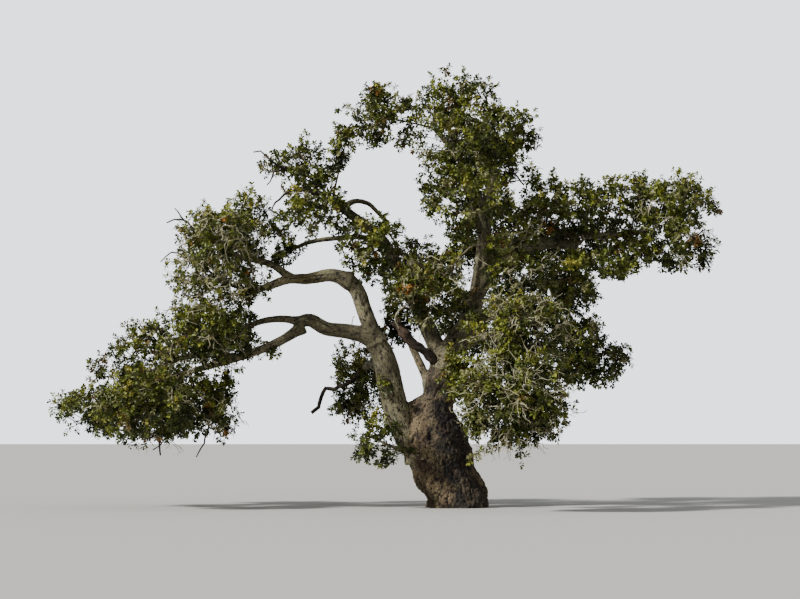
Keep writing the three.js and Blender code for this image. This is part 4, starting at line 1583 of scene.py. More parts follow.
    def reach_out(self, rule: FineRule, count: int, space: Space, wood: Wood,
                  fine: np.random.Generator) -> list[np.ndarray]:
        """Grow finer twigs from the wood to places spread through the space, the nearest first.

        Args:
            rule: how they grow.
            count: how many there are.
            space: the mass's space.
            wood: what they grow from.
            fine: the mass's row of random numbers.

        Returns:
            The places along each.
        """
        edge = min(rule.edge, float(space.half.min()) * rule.edge_most)
        targets = space.spread(count, edge, rule.lumps, fine)
        start = wood.places[0]
        rows = []
        for target in sorted(targets, key=lambda place: float(np.linalg.norm(place - start))):
            foot, run = wood.leave_for(target)
            away = target - foot
            length = float(np.linalg.norm(away))
            lean = unit(run + away / length * rule.outwards + UP * rule.upwards) * length * rule.bend
            bend = foot + lean + fine.normal(0, rule.sway, 3) * length
            row = bent_row(foot, bend, target, rule.places)
            self.twigs.add(row, np.linspace(rule.foot, rule.tip, len(row)))
            rows.append(row)
        return rows

    def dress(self, row: np.ndarray, plan: MassPlan | SprigPlan, space: Space,
              fine: np.random.Generator) -> None:
        """Set out the shoots of one spray along the end of its twig, and the leaves along each shoot.

        Args:
            row: the twig's places.
            plan: the mass or the sprig.
            space: its space.
            fine: its row of random numbers.
        """
        rule = self.spray_rule
        along = np.concatenate([[0], np.cumsum(np.linalg.norm(np.diff(row, axis=0), axis=1))])
        shares = np.linspace(0, 1, rule.shoots)
        spots = along[-1] - rule.stretch * (1 - shares) * min(1.0, along[-1] / rule.stretch)
        feet = np.stack([np.interp(spots, along, row[:, axis]) for axis in range(3)], axis=1)
        run = unit(row[-1] - row[-2])
        out = self.turned(run, fine.uniform(0, math.tau) + np.arange(rule.shoots) * GOLDEN_ANGLE)
        last = shares[:, None] ** rule.end_on
        ways = unit(out * (1 - rule.end_inwards * last) + run * (rule.forward + last)
                    + UP * plan.lift * rule.lift + fine.normal(0, rule.unruly, out.shape))
        lengths = rule.length * fine.uniform(*rule.length_varies, rule.shoots)
        self.shoots.add(feet, ways, across_of(ways)[0], lengths)
        tint = self.pick_tint(row[-1], plan, space, fine)
        for foot, way, length in zip(feet, ways, lengths):
            here = tint if fine.random() < rule.own_tint else self.pick_tint(foot, plan, space, fine)
            self.set_leaves(foot, way, length, here, fine)

    @staticmethod
    def turned(run: np.ndarray, around: np.ndarray) -> np.ndarray:
        """Give the directions square to a run at some angles round it."""
        side, rise = across_of(run)
        return np.cos(around)[:, None] * side + np.sin(around)[:, None] * rise

    def set_leaves(self, foot: np.ndarray, run: np.ndarray, length: float, tint: int,
                   fine: np.random.Generator) -> None:
        """Set the leaves of one shoot, closer towards its tip.

        Args:
            foot: where the shoot starts.
            run: its direction.
            length: its length.
            tint: which leaf finish it takes.
            fine: the mass's row of random numbers.
        """
        rule = self.leaf_rule
        shares = np.linspace(rule.first, 1.0, rule.count) ** rule.crowding
        around = fine.uniform(0, math.tau) + np.arange(rule.count) * GOLDEN_ANGLE
        out = self.turned(run, around + fine.normal(0, rule.turn_varies, rule.count))
        forward = rule.forward + rule.tip_forward * shares**rule.tip_sharp
        forward += fine.normal(0, rule.forward_varies, rule.count)
        ways = unit(out + run * forward[:, None] + fine.normal(0, rule.unruly, out.shape))
        faces = unit(UP * rule.face_up + run * rule.face_forward - out * rule.face_inwards
                     + fine.normal(0, rule.face_varies, out.shape))
        sizes = rule.length * (1 + rule.length_varies * (fine.random(rule.count) - 0.5))
        self.leaves[tint].add(foot + run * length * shares[:, None], ways, faces, sizes)

    def pick_tint(self, place: np.ndarray, plan: MassPlan | SprigPlan, space: Space,
                  fine: np.random.Generator) -> int:
        """Pick a spray's leaf finish, with painted light and shade: lighter towards the outside, the top and
        the sunny left of its mass.

        Args:
            place: where the spray is.
            plan: the mass or the sprig.
            space: its space.
            fine: its row of random numbers.

        Returns:
            The number of the finish.
        """
        rule = self.tint_rule
        if any(spot.holds(place) for spot in RUSSET_SPOTS) and fine.random() < rule.russet_share:
            return RUSSET
        offset = (place - space.middle) / space.half
        sun = (rule.by_mass * plan.tint + rule.plain + rule.upwards * offset[2]
               + rule.outwards * np.linalg.norm(offset) - rule.leftwards * offset[0])
        weights = np.array([look.share * math.exp(-(((look.sun - sun) / rule.spread) ** 2))
                            for look in LEAF_FINISHES])
        return int(fine.choice(len(LEAF_FINISHES), p=weights / weights.sum()))

    def grow_grey(self, count: int, space: Space, wood: Wood, fine: np.random.Generator) -> None:
        """Grow the bare, crooked twigs under lichen that stand out of a mass on its open side.

        Args:
            count: how many.
            space: the mass's space.
            wood: what they grow from.
            fine: the mass's row of random numbers.
        """
        rule = self.grey_rule
        targets = space.spread(count * rule.choice, rule.edge, rule.lumps, fine)
        open_side = np.argsort(targets[:, 1] + rule.depth_varies * fine.random(len(targets)))
        for target in targets[open_side[:count]]:
            foot, _ = wood.leave_for(target)
            row = crooked_row(foot, target, rule.places, fine)
            self.grey.add(row, np.linspace(*rule.radii, len(row)))
            for at in range(rule.first_fork, rule.places):
                along = unit(row[at] - row[at - 1]) * rule.forward
                way = unit(along + fine.normal(0, rule.unruly, 3) - UP * rule.hang)
                end = near_solids(row[at] + way * fine.uniform(*rule.side_length))
                side = crooked_row(row[at], end, rule.side_places, fine)
                self.grey.add(side, np.linspace(*rule.side_radii, len(side)))
                way = unit(way + fine.normal(0, rule.spike_unruly, 3) - UP * rule.spike_hang)
                start = side[rule.spike_at]
                spike = np.array([start, start + way * fine.uniform(*rule.spike_length)])
                self.grey.add(spike, np.array(rule.spike_radii))

    def build(self) -> None:
        """Grow every mass and sprig, and make the stems, twigs, shoots and leaves as pieces."""
        for seed, name in enumerate(MASSES, start=1):
            self.grow(name, seed)
        for seed, plan in enumerate(SPRIGS, start=len(MASSES) + 1):
            self.grow_sprig(plan, seed)
        self.grey.add(*BARE_TWIG.row())
        thin = self.twig_finish.build()
        for bundle, name, finish, sides, nodes in (
                (self.stems, "crown_stems", self.stem_finish.build(), self.stem_sides, MASSES),
                (self.twigs, "crown_twigs", thin, self.twig_sides, ()),
                (self.grey, "lichen_twigs", self.grey_finish.build(), self.twig_sides, ())):
            recipe = twig_recipe(f"grow_{name}", finish, sides)
            finish_piece(recipe.make(bundle.mesh(f"{name}_rows"), name), "bark", nodes)
        spike = ShootShape().build()
        shoots = spray_recipe("shoots", thin, spike).make(self.shoots.mesh("shoot_points"), "crown_shoots")
        finish_piece(shoots, "bark")
        blade = LeafShape().build()
        for look, bundle in zip(LEAF_FINISHES, self.leaves):
            recipe = spray_recipe(f"leaves_{look.name}", look.build(), blade)
            piece = recipe.make(bundle.mesh(f"points_{look.name}"), f"leaves_{look.name}")
            finish_piece(piece, "foliage")
        for shape in (spike, blade):
            bpy.data.objects.remove(shape)


def near_solids(place: np.ndarray) -> np.ndarray:
    """Bring a place back to a hand's breadth from the box that holds the solids."""
    low, high = np.array(CAD_BOX[0]), np.array(CAD_BOX[1])
    return np.clip(place, low - SOLIDS_MARGIN, high + SOLIDS_MARGIN)


def across_of(run: np.ndarray) -> tuple[np.ndarray, np.ndarray]:
    """Give two directions square to a direction, or to each of several."""
    side = unit(np.cross(run, NEARLY_UP))
    return side, np.cross(side, run)


def bent_row(start: np.ndarray, bend: np.ndarray, end: np.ndarray, count: int) -> np.ndarray:
    """Give places along a simple bend from start to end."""
    share = np.linspace(0, 1, count)[:, None]
    return start * (1 - share) ** 2 + bend * 2 * share * (1 - share) + end * share**2


def crooked_row(start: np.ndarray, end: np.ndarray, count: int, fine: np.random.Generator) -> np.ndarray:
    """Give places along a crooked way from start to end.

    Args:
        start: the first place.
        end: about the last place.
        count: how many places.
        fine: the row of random numbers for the kinks.

    Returns:
        The places.
    """
    share = np.linspace(0, 1, count)[:, None]
    kinks = fine.normal(0, KINK, (count, 3)) * np.linalg.norm(end - start)
    return start + (end - start) * share + kinks * np.minimum(share * KINK_GROWS, 1)


def nearness(places: np.ndarray, at: Place, radius: float) -> np.ndarray:
    """Give for each place 1 where it is at a point, falling to 0 a few radii away."""
    return np.exp(-((np.linalg.norm(places - np.array(at), axis=1) / radius) ** 2))


@dataclass
class BarkPlaces:
    """Where the vertices of some bark lie: round and along which limb, and how thick that is there."""

    places: np.ndarray
    offset: np.ndarray
    around: np.ndarray
    along: np.ndarray
    radii: np.ndarray
    limbs: np.ndarray


@dataclass
class LimbSamples:
    """Every limb's centre line in short steps, to tell which limb a point of the bark belongs to."""

    step: float = 0.05
    chunk: int = 6000
    centres: list[np.ndarray] = field(default_factory=list)
    runs: list[np.ndarray] = field(default_factory=list)
    sides: list[np.ndarray] = field(default_factory=list)
    radii: list[np.ndarray] = field(default_factory=list)
    alongs: list[np.ndarray] = field(default_factory=list)
    limbs: list[np.ndarray] = field(default_factory=list)
    names: list[str] = field(default_factory=list)

    def add(self, name: str, curve: LimbCurve, radius_at: RadiusRule) -> None:
        """Add one limb, with a side direction carried along it without twist.

        Args:
            name: the limb.
            curve: its centre line.
            radius_at: gives its radii from shares and centres.
        """
        count = max(FEWEST_STEPS, round(curve.length / self.step))
        shares = np.linspace(0, 1, count)
        centres, runs = curve.places(shares), curve.runs(shares)
        self.centres.append(centres)
        self.runs.append(runs)
        self.sides.append(carried_sides(runs))
        self.radii.append(radius_at(shares, centres))
        self.alongs.append(shares * curve.length)
        self.limbs.append(np.full(count, len(self.names)))
        self.names.append(name)

    def nearest(self, places: np.ndarray) -> np.ndarray:
        """Find for each place the sample whose bark is nearest.

        Args:
            places: the places.

        Returns:
            The number of one sample for each place.
        """
        centres, radii = np.vstack(self.centres).astype(np.float32), np.concatenate(self.radii)
        found = []
        for start in range(0, len(places), self.chunk):
            part = places[start : start + self.chunk].astype(np.float32)
            square = (part**2).sum(1)[:, None] + (centres**2).sum(1) - 2 * part @ centres.T
            found.append(np.argmin(np.sqrt(np.maximum(square, 0)) - radii, axis=1))
        return np.concatenate(found)

    def locate(self, mesh: bpy.types.Mesh) -> BarkPlaces:
        """Find where the vertices of some bark lie along and round their limbs.

        Args:
            mesh: the bark.

        Returns:
            What is known of each vertex.
        """
        places = corners_of(mesh)
        found = self.nearest(places)
        centres, runs, sides = (np.vstack(rows)[found] for rows in (self.centres, self.runs, self.sides))
        radii, alongs, limbs = (np.concatenate(rows)[found] for rows in (self.radii, self.alongs, self.limbs))
        offset = places - centres
        around = np.stack([(offset * sides).sum(1), (offset * np.cross(runs, sides)).sum(1)], axis=1)
        return BarkPlaces(places, offset, around, alongs + (offset * runs).sum(1), radii, limbs)


def carried_sides(runs: np.ndarray) -> np.ndarray:
    """Give a direction square to each run of a limb, carried along it without twist.

    Args:
        runs: the directions of the limb at its steps.

    Returns:
        One direction for each step.
    """
    side = unit(np.cross(runs[0], ASKEW))
    sides = []
    for run in runs:
        side = unit(side - run * (side @ run))
        sides.append(side)
    return np.array(sides)


@dataclass
class Skin:
    """Closed limbs that are melted into one closed skin."""

    voxel: float
    smooth_turns: int
    ring_step: float = 0.06
    dome: float = 0.6
    smoothing: float = 0.5
    places: list[np.ndarray] = field(default_factory=list)
    faces: list[tuple[int, ...]] = field(default_factory=list)

    def add(self, curve: LimbCurve, radius_at: RadiusRule, swell_at: SwellRule, sides: int) -> None:
        """Add one closed limb.

        Args:
            curve: the limb's centre line.
            radius_at: gives its radii from shares and centres.
            swell_at: gives how far it swells, from the centre and the angles round it.
            sides: how many sides it has.
        """
        count = max(FEWEST_STEPS, round(curve.length / self.ring_step))
        shares = np.linspace(0, 1, count)
        centres, runs = curve.places(shares), curve.runs(shares)
        radii, across = radius_at(shares, centres), carried_sides(runs)
        angles = np.linspace(0, math.tau, sides, endpoint=False)
        first = sum(len(part) for part in self.places)
        rows = [centres[:1]]
        for centre, run, side, radius in zip(centres, runs, across, radii):
            ring = np.cos(angles)[:, None] * side + np.sin(angles)[:, None] * np.cross(run, side)
            rows.append(centre + ring * (radius * swell_at(centre, angles))[:, None])
        rows.append(centres[-1:] + runs[-1:] * radii[-1] * self.dome)
        self.places.append(np.vstack(rows))
        last = first + count * sides + 1
        for k in range(sides):
            after = (k + 1) % sides
            self.faces.append((first, first + 1 + after, first + 1 + k))
            self.faces.append((last, last - sides + k, last - sides + after))
            for low in range(first + 1, last - sides, sides):
                high = low + sides
                self.faces.append((low + k, low + after, high + after, high + k))

    def melt(self, name: str) -> bpy.types.Object:
        """Melt the limbs together.

        Args:
            name: the name of the skin.

        Returns:
            The skin's object.
        """
        limbs = mesh_of(name, np.vstack(self.places), (), self.faces)
        holder = link(bpy.data.objects.new(f"{name}_limbs", limbs))
        remesh = holder.modifiers.new("melt", "REMESH")
        remesh.mode, remesh.voxel_size = "VOXEL", self.voxel
        smooth = holder.modifiers.new("smooth", "SMOOTH")
        smooth.factor, smooth.iterations = self.smoothing, self.smooth_turns
        return applied(holder, name)


BARK_RELIEF: dict[str, float] = {
    "Drift scale": 0.55, "Warp": 2.0, "Furrow width": 0.24, "Plate rise": 0.45, "Block scale": 0.36,
    "Block gap": 0.16, "Block rise": 0.35, "Rough scale": 1.4, "Rough rise": 0.7, "Level": 0.78,
}


def bark_recipe(material: bpy.types.Material) -> ShapeBench:
    """Make the tree that raises plates and blocks of bark between furrows, and sinks its pits.

    Args:
        material: the bark's material.

    Returns:
        The finished tree.
    """
    bench = ShapeBench("bark_relief", {**BARK_RELIEF, "Material": material})
    given, grain = bench.given, bench.named("grain", "FLOAT_VECTOR")
    feeds = {"Vector": grain, "Scale": given["Drift scale"], "Detail": 3.0}
    drift = bench.add("ShaderNodeTexNoise", feeds).outputs["Color"]
    feeds = {0: drift, "Scale": given["Warp"]}
    shift = bench.add("ShaderNodeVectorMath", feeds, operation="SCALE").outputs[0]
    place = bench.add("ShaderNodeVectorMath", {0: grain, 1: shift}, operation="ADD").outputs[0]
    cells = bench.add("ShaderNodeTexVoronoi", {"Vector": place, "Scale": 1.0}, feature="DISTANCE_TO_EDGE")
    plates = bench.step(cells.outputs["Distance"], (0.0, given["Furrow width"]))
    feeds = {"Vector": place, "Scale": given["Block scale"]}
    cells = bench.add("ShaderNodeTexVoronoi", feeds, feature="DISTANCE_TO_EDGE")
    blocks = bench.step(cells.outputs["Distance"], (0.0, given["Block gap"]), (0.0, given["Block rise"]))
    rough = bench.add("ShaderNodeTexNoise", {"Vector": grain, "Scale": given["Rough scale"], "Detail": 4.0})
    risen = bench.math("MULTIPLY", plates, given["Plate rise"])
    worn = bench.math("ADD", risen, bench.math("MULTIPLY", rough.outputs[0], given["Rough rise"]))
    height = bench.math("ADD", worn, blocks)
    feeds = {"Geometry": given["Geometry"], "Name": "relief", "Value": height}
    stored = bench.add("GeometryNodeStoreNamedAttribute", feeds, data_type="FLOAT", domain="POINT")
    rise = bench.math("MULTIPLY", bench.math("SUBTRACT", height, given["Level"]), bench.named("furrow"))
    feeds = {0: bench.add("GeometryNodeInputNormal").outputs[0],
             "Scale": bench.math("SUBTRACT", rise, bench.named("pit"))}
    offset = bench.add("ShaderNodeVectorMath", feeds, operation="SCALE").outputs[0]
    moved = bench.add("GeometryNodeSetPosition", {"Geometry": stored.outputs[0], "Offset": offset})
    bench.close(moved.outputs[0])
    return bench


class TimberPart(Enum):
    """The pieces of the trunk's and the boughs' skin, in the order of their numbers."""

    TRUNK = "trunk_bark"
    LEFT = "left_boughs_bark"
    UPPER = "upper_boughs_bark"


@dataclass(frozen=True)
class Burl:
    """A round swelling on the trunk."""

    turn: float
    height: float
    width: float
    rise: float


@dataclass(frozen=True)
class Pit:
    """A hollow in the bark, sunk into it and painted near black: painted shade in the hollow."""

    at: Place
    radius: float
    depth: float


PITS: tuple[Pit, ...] = (
    Pit((-0.88, -0.42, 2.42), 0.13, 0.14),
    Pit((-0.62, -0.72, 1.72), 0.08, 0.05),
    Pit((-1.98, -0.55, 4.2), 0.05, 0.03),
    Pit((-2.1, -0.53, 4.5), 0.06, 0.035),
    Pit((-2.2, -0.5, 4.8), 0.05, 0.03),
    Pit((-2.27, -0.5, 5.05), 0.06, 0.035),
    Pit((-2.34, -0.5, 5.3), 0.05, 0.03),
    Pit((-1.62, -0.52, 3.35), 0.06, 0.03),
    Pit((-0.35, -0.3, 3.05), 0.06, 0.04),
)

BARE_PATCHES: tuple[Place, ...] = (
    (-0.25, -0.7, 0.6), (-0.22, -0.72, 0.28), (-0.66, -0.5, 0.62), (-0.95, -0.45, 1.5), (-0.78, 0.05, 3.35),
    (-0.9, 0.05, 3.55), (-1.0, 0.08, 3.75), (-1.1, 0.1, 3.95),
)


@dataclass
class Timber:
    """The trunk and the boughs as one skin with bark relief, cut into a few closed pieces."""

    voxel: float = 0.022
    smooth_turns: int = 5
    trunk_sides: int = 96
    sides: int = 28
    collar: float = 0.4
    collar_length: float = 0.22
    slack: float = 0.97
    flare_lobes: int = 5
    flare_swell: float = 0.07
    flare_height: float = 0.55
    twist_lobes: int = 9
    twist_swell: float = 0.03
    twist_turn: float = 1.1
    burl_count: int = 120
    burl_widths: Band = (0.26, 0.07)
    burl_rises: Band = (0.3, 0.55)
    burl_top: float = 3.5
    burl_reach: float = 2.0
    neck_from: float = 2.3
    neck_share: int = 3
    thin_trunk: float = 0.38
    wave: float = 0.035
    wave_rise: float = 3.1
    wave_run: float = 1.7
    cross_run: float = 4.3
    lump: float = 0.05
    lump_scale: float = 3.1
    left_from: float = 1.55
    upper_from: float = 0.6
    trunk_plate: float = 0.085
    bough_plate: float = 0.05
    plate_stretch: float = 0.62
    bough_stretch: float = 0.26
    limb_shift: float = 0.7
    trunk_furrow: float = 0.058
    bough_furrow: float = 0.017
    thin_furrow: float = 0.4
    thin_radius: float = 0.06
    stout_more: float = 0.3
    old_top: float = 3.5
    old_fade: float = 0.9
    neck_age: float = 0.8
    moss_at: Place = (-3.9, -0.4, 5.7)
    moss_radius: float = 0.5
    moss_most: float = 0.7
    moss_above: float = 0.4
    moss_level: float = 0.5
    # The trunk's right and front side is painted darker, as in the shade of a sun on the left: painted shade.
    # Above a height its neck is painted darker too.
    shade_edge: float = 0.35
    shade_front: float = 0.6
    neck_dark_from: float = 2.2
    neck_dark_fade: float = 0.3
    neck_dark_most: float = 0.75
    bare_radius: float = 0.14
    samples: LimbSamples = field(default_factory=LimbSamples)

    @cached_property
    def burls(self) -> list[Burl]:
        """The swellings of the trunk, large ones first, with one in a few kept to its neck.

        Returns:
            The burls.
        """
        random = SeededRandom(len(TRUNK))
        found = []
        for n in range(self.burl_count):
            width = blend(*self.burl_widths, (n / self.burl_count) ** 0.5)
            on_neck = n % self.neck_share == 0
            height = blend(self.neck_from, self.burl_top, random()) if on_neck else random() * self.burl_top
            found.append(Burl(random() * math.tau, height, width, width * blend(*self.burl_rises, random())))
        return found

    def trunk_radius(self, shares: np.ndarray, centres: np.ndarray) -> np.ndarray:
        """Give the trunk's plain radius at each height."""
        return np.interp(centres[:, 2], [at[2] for at, _ in TRUNK], [radius for _, radius in TRUNK])

    def trunk_swell(self, centre: np.ndarray, angles: np.ndarray) -> np.ndarray:
        """Swell the trunk into buttresses, burls and twisted flutes.

        Args:
            centre: the middle of one ring.
            angles: the angles round it.

        Returns:
            What the radius is multiplied by at each angle.
        """
        low = math.exp(-max(centre[2], 0) / self.flare_height)
        flutes = np.cos(self.twist_lobes * angles + self.twist_turn * centre[2] * math.pi)
        lobes = low * self.flare_swell * np.cos(self.flare_lobes * angles)
        swell = self.slack + lobes + self.twist_swell * flutes
        radius = float(self.trunk_radius(np.zeros(1), centre[None])[0])
        for burl in self.burls:
            if abs(burl.height - centre[2]) < burl.width * self.burl_reach:
                turn = (angles - burl.turn + math.pi) % math.tau - math.pi
                away = (turn * radius / burl.width) ** 2 + ((centre[2] - burl.height) / burl.width) ** 2
                swell += burl.rise / max(radius, self.thin_trunk) * np.exp(-away)
        return swell

    def bough_swell(self, centre: np.ndarray, angles: np.ndarray) -> np.ndarray:
        """Make a bough a little uneven round its middle.

        Args:
            centre: the middle of one ring.
            angles: the angles round it.

        Returns:
            What the radius is multiplied by at each angle.
        """
        waves = np.sin(2 * angles + self.wave_rise * centre[2] + self.wave_run * centre[0])
        waves = waves + np.sin(3 * angles - self.cross_run * centre[0])
        return 1 + self.wave * waves + self.lump * noise.noise(Vector(centre * self.lump_scale))

    def bough_radius(self, plan: BoughPlan) -> RadiusRule:
        """Give the rule of a bough's radius: a collar at its foot, then even to its tip.

        Args:
            plan: the bough.

        Returns:
            What gives its radii from shares and centres.
        """

        def radius_at(shares: np.ndarray, centres: np.ndarray) -> np.ndarray:
            """Give the bough's radius at some shares of its length."""
            swell = 1 + self.collar * np.exp(-((shares * plan.curve.length) / self.collar_length) ** 2)
            return blend(plan.foot, plan.tip, shares) * swell

        return radius_at

    def part_of(self, name: str) -> TimberPart:
        """Tell which piece of the skin a limb belongs to.

        Args:
            name: the limb.

        Returns:
            The piece.
        """
        if name in ("trunk", "spur"):
            return TimberPart.TRUNK
        plan = SKIN_BOUGHS[name]
        if plan.leaves != "trunk":
            return self.part_of(plan.leaves)
        return TimberPart.LEFT if name == "left_arm" else TimberPart.UPPER

    def starts_at(self, name: str) -> float:
        """Give how far along a limb its own piece starts, and the trunk's ends.

        Args:
            name: the limb.

        Returns:
            The length along it, or minus infinity for a limb that lies in one piece.
        """
        if name not in SKIN_BOUGHS or SKIN_BOUGHS[name].leaves != "trunk":
            return -math.inf
        return self.left_from if name == "left_arm" else self.upper_from

    def build(self) -> None:
        """Make the skin, give it its relief, and cut it into pieces."""
        trunk = LimbCurve([at for at, _ in TRUNK])
        skin = Skin(self.voxel, self.smooth_turns)
        self.samples.add("trunk", trunk, self.trunk_radius)
        skin.add(trunk, self.trunk_radius, self.trunk_swell, self.trunk_sides)
        for name, plan in SKIN_BOUGHS.items():
            self.samples.add(name, plan.curve, self.bough_radius(plan))
            skin.add(plan.curve, self.bough_radius(plan), self.bough_swell, self.sides)
        piece = skin.melt("timber")
        self.mark(piece.data)
        shape = bark_recipe(BarkFinish().build()).make(piece.data, "timber_bark")
        bpy.data.objects.remove(piece)
        for number, part in enumerate(TimberPart):
            nodes = [name for name in ("trunk", *BOUGHS) if name != SNAG and self.part_of(name) is part]
            finish_piece(self.cut(shape.data, number, part.value), "bark", nodes)
        bpy.data.objects.remove(shape)

    def cut(self, mesh: bpy.types.Mesh, number: int, name: str) -> bpy.types.Object:
        """Take one piece out of the skin, flat at the ground and closed where the others were.

        Args:
            mesh: the whole skin.
            number: the number of the piece.
            name: its name.

        Returns:
            The piece.
        """
        whole = bmesh.new()
        whole.from_mesh(mesh)
        part = whole.verts.layers.float["part"]
        others = [face for face in whole.faces if round(max(corner[part] for corner in face.verts)) != number]
        bmesh.ops.delete(whole, geom=others, context="FACES")
        geometry = [*whole.verts, *whole.edges, *whole.faces]
        bmesh.ops.bisect_plane(whole, geom=geometry, plane_co=(0, 0, 0), plane_no=(0, 0, 1), clear_inner=True)
        rims = [edge for edge in whole.edges if edge.is_boundary]
        for edge in rims:
            edge.smooth = False
        caps = bmesh.ops.holes_fill(whole, edges=rims, sides=0)["faces"]
        bmesh.ops.triangulate(whole, faces=caps)
        bmesh.ops.recalc_face_normals(whole, faces=whole.faces)
        cut = mesh.copy()
        whole.to_mesh(cut)
        whole.free()
        cut.name = name
        return link(bpy.data.objects.new(name, cut))

    def mark(self, mesh: bpy.types.Mesh) -> None:
        """Store at each vertex its piece, its place in the grain and how deep its furrows are.

        Args:
            mesh: the whole skin.
        """
        bark = self.samples.locate(mesh)
        parts = list(TimberPart)
        numbers = np.array([parts.index(self.part_of(name)) for name in self.samples.names])
        starts = np.array([self.starts_at(name) for name in self.samples.names])
        give(mesh, "part", np.where(bark.along < starts[bark.limbs], 0, numbers[bark.limbs]).astype(float))
        on_trunk = bark.limbs == 0
        age = np.clip((self.old_top - bark.places[:, 2]) / self.old_fade, self.neck_age, 1) * on_trunk
        stout = np.clip((bark.radii - self.thin_radius) / self.stout_more, 0, 1)
        plate = np.where(on_trunk, self.trunk_plate, self.bough_plate)
        stretch = np.where(on_trunk, self.plate_stretch, self.bough_stretch)
        lengthwise = bark.along * stretch + bark.limbs * self.limb_shift
        give(mesh, "grain", np.column_stack([bark.around, lengthwise]) / plate[:, None])
        give(mesh, "age", age)
        furrow = self.bough_furrow * blend(self.thin_furrow, 1, stout)
        give(mesh, "furrow", furrow + (self.trunk_furrow - self.bough_furrow) * age)
        self.colour(mesh, bark, age)

    def colour(self, mesh: bpy.types.Mesh, bark: BarkPlaces, age: np.ndarray) -> None:
        """Store at each vertex how much moss and bare wood it has, how deep a pit, and how much it is painted
        near black: painted shade on the trunk's shaded side and in the pits, and a darker neck.

        Args:
            mesh: the whole skin.
            bark: where its vertices lie.
            age: how old the bark of each is.
        """
        above = np.clip(corners_of(mesh, "normal")[:, 2] - self.moss_level, 0, 1) * (1 - age)
        near = nearness(bark.places, self.moss_at, self.moss_radius)
        give(mesh, "moss", np.clip(near * self.moss_most + self.moss_above * above, 0, 1))
        pits = [nearness(bark.places, pit.at, pit.radius) for pit in PITS]
        give(mesh, "pit", np.sum([pit.depth * near for pit, near in zip(PITS, pits)], axis=0))
        # Painted shade: the trunk darkens towards its right and front, away from a sun on the left; its neck
        # darkens too.
        aside, back = bark.offset[:, 0] / bark.radii, bark.offset[:, 1] / bark.radii
        shady = np.clip((aside + self.shade_edge) / self.shade_edge, 0, 1)
        shady = shady * np.clip(self.shade_front - back, 0, 1)
        neck = np.clip((bark.places[:, 2] - self.neck_dark_from) / self.neck_dark_fade, 0, 1) * self.neck_dark_most
        darkened_by_shade_and_stain = np.maximum(shady, neck) * (bark.limbs == 0)
        # The pits are painted near black as well: painted shade in the hollows.
        give(mesh, "stain", np.clip(np.max(pits, axis=0) + darkened_by_shade_and_stain, 0, 1))
        bare = [nearness(bark.places, at, self.bare_radius) for at in BARE_PATCHES]
        give(mesh, "bare", np.max(bare, axis=0))


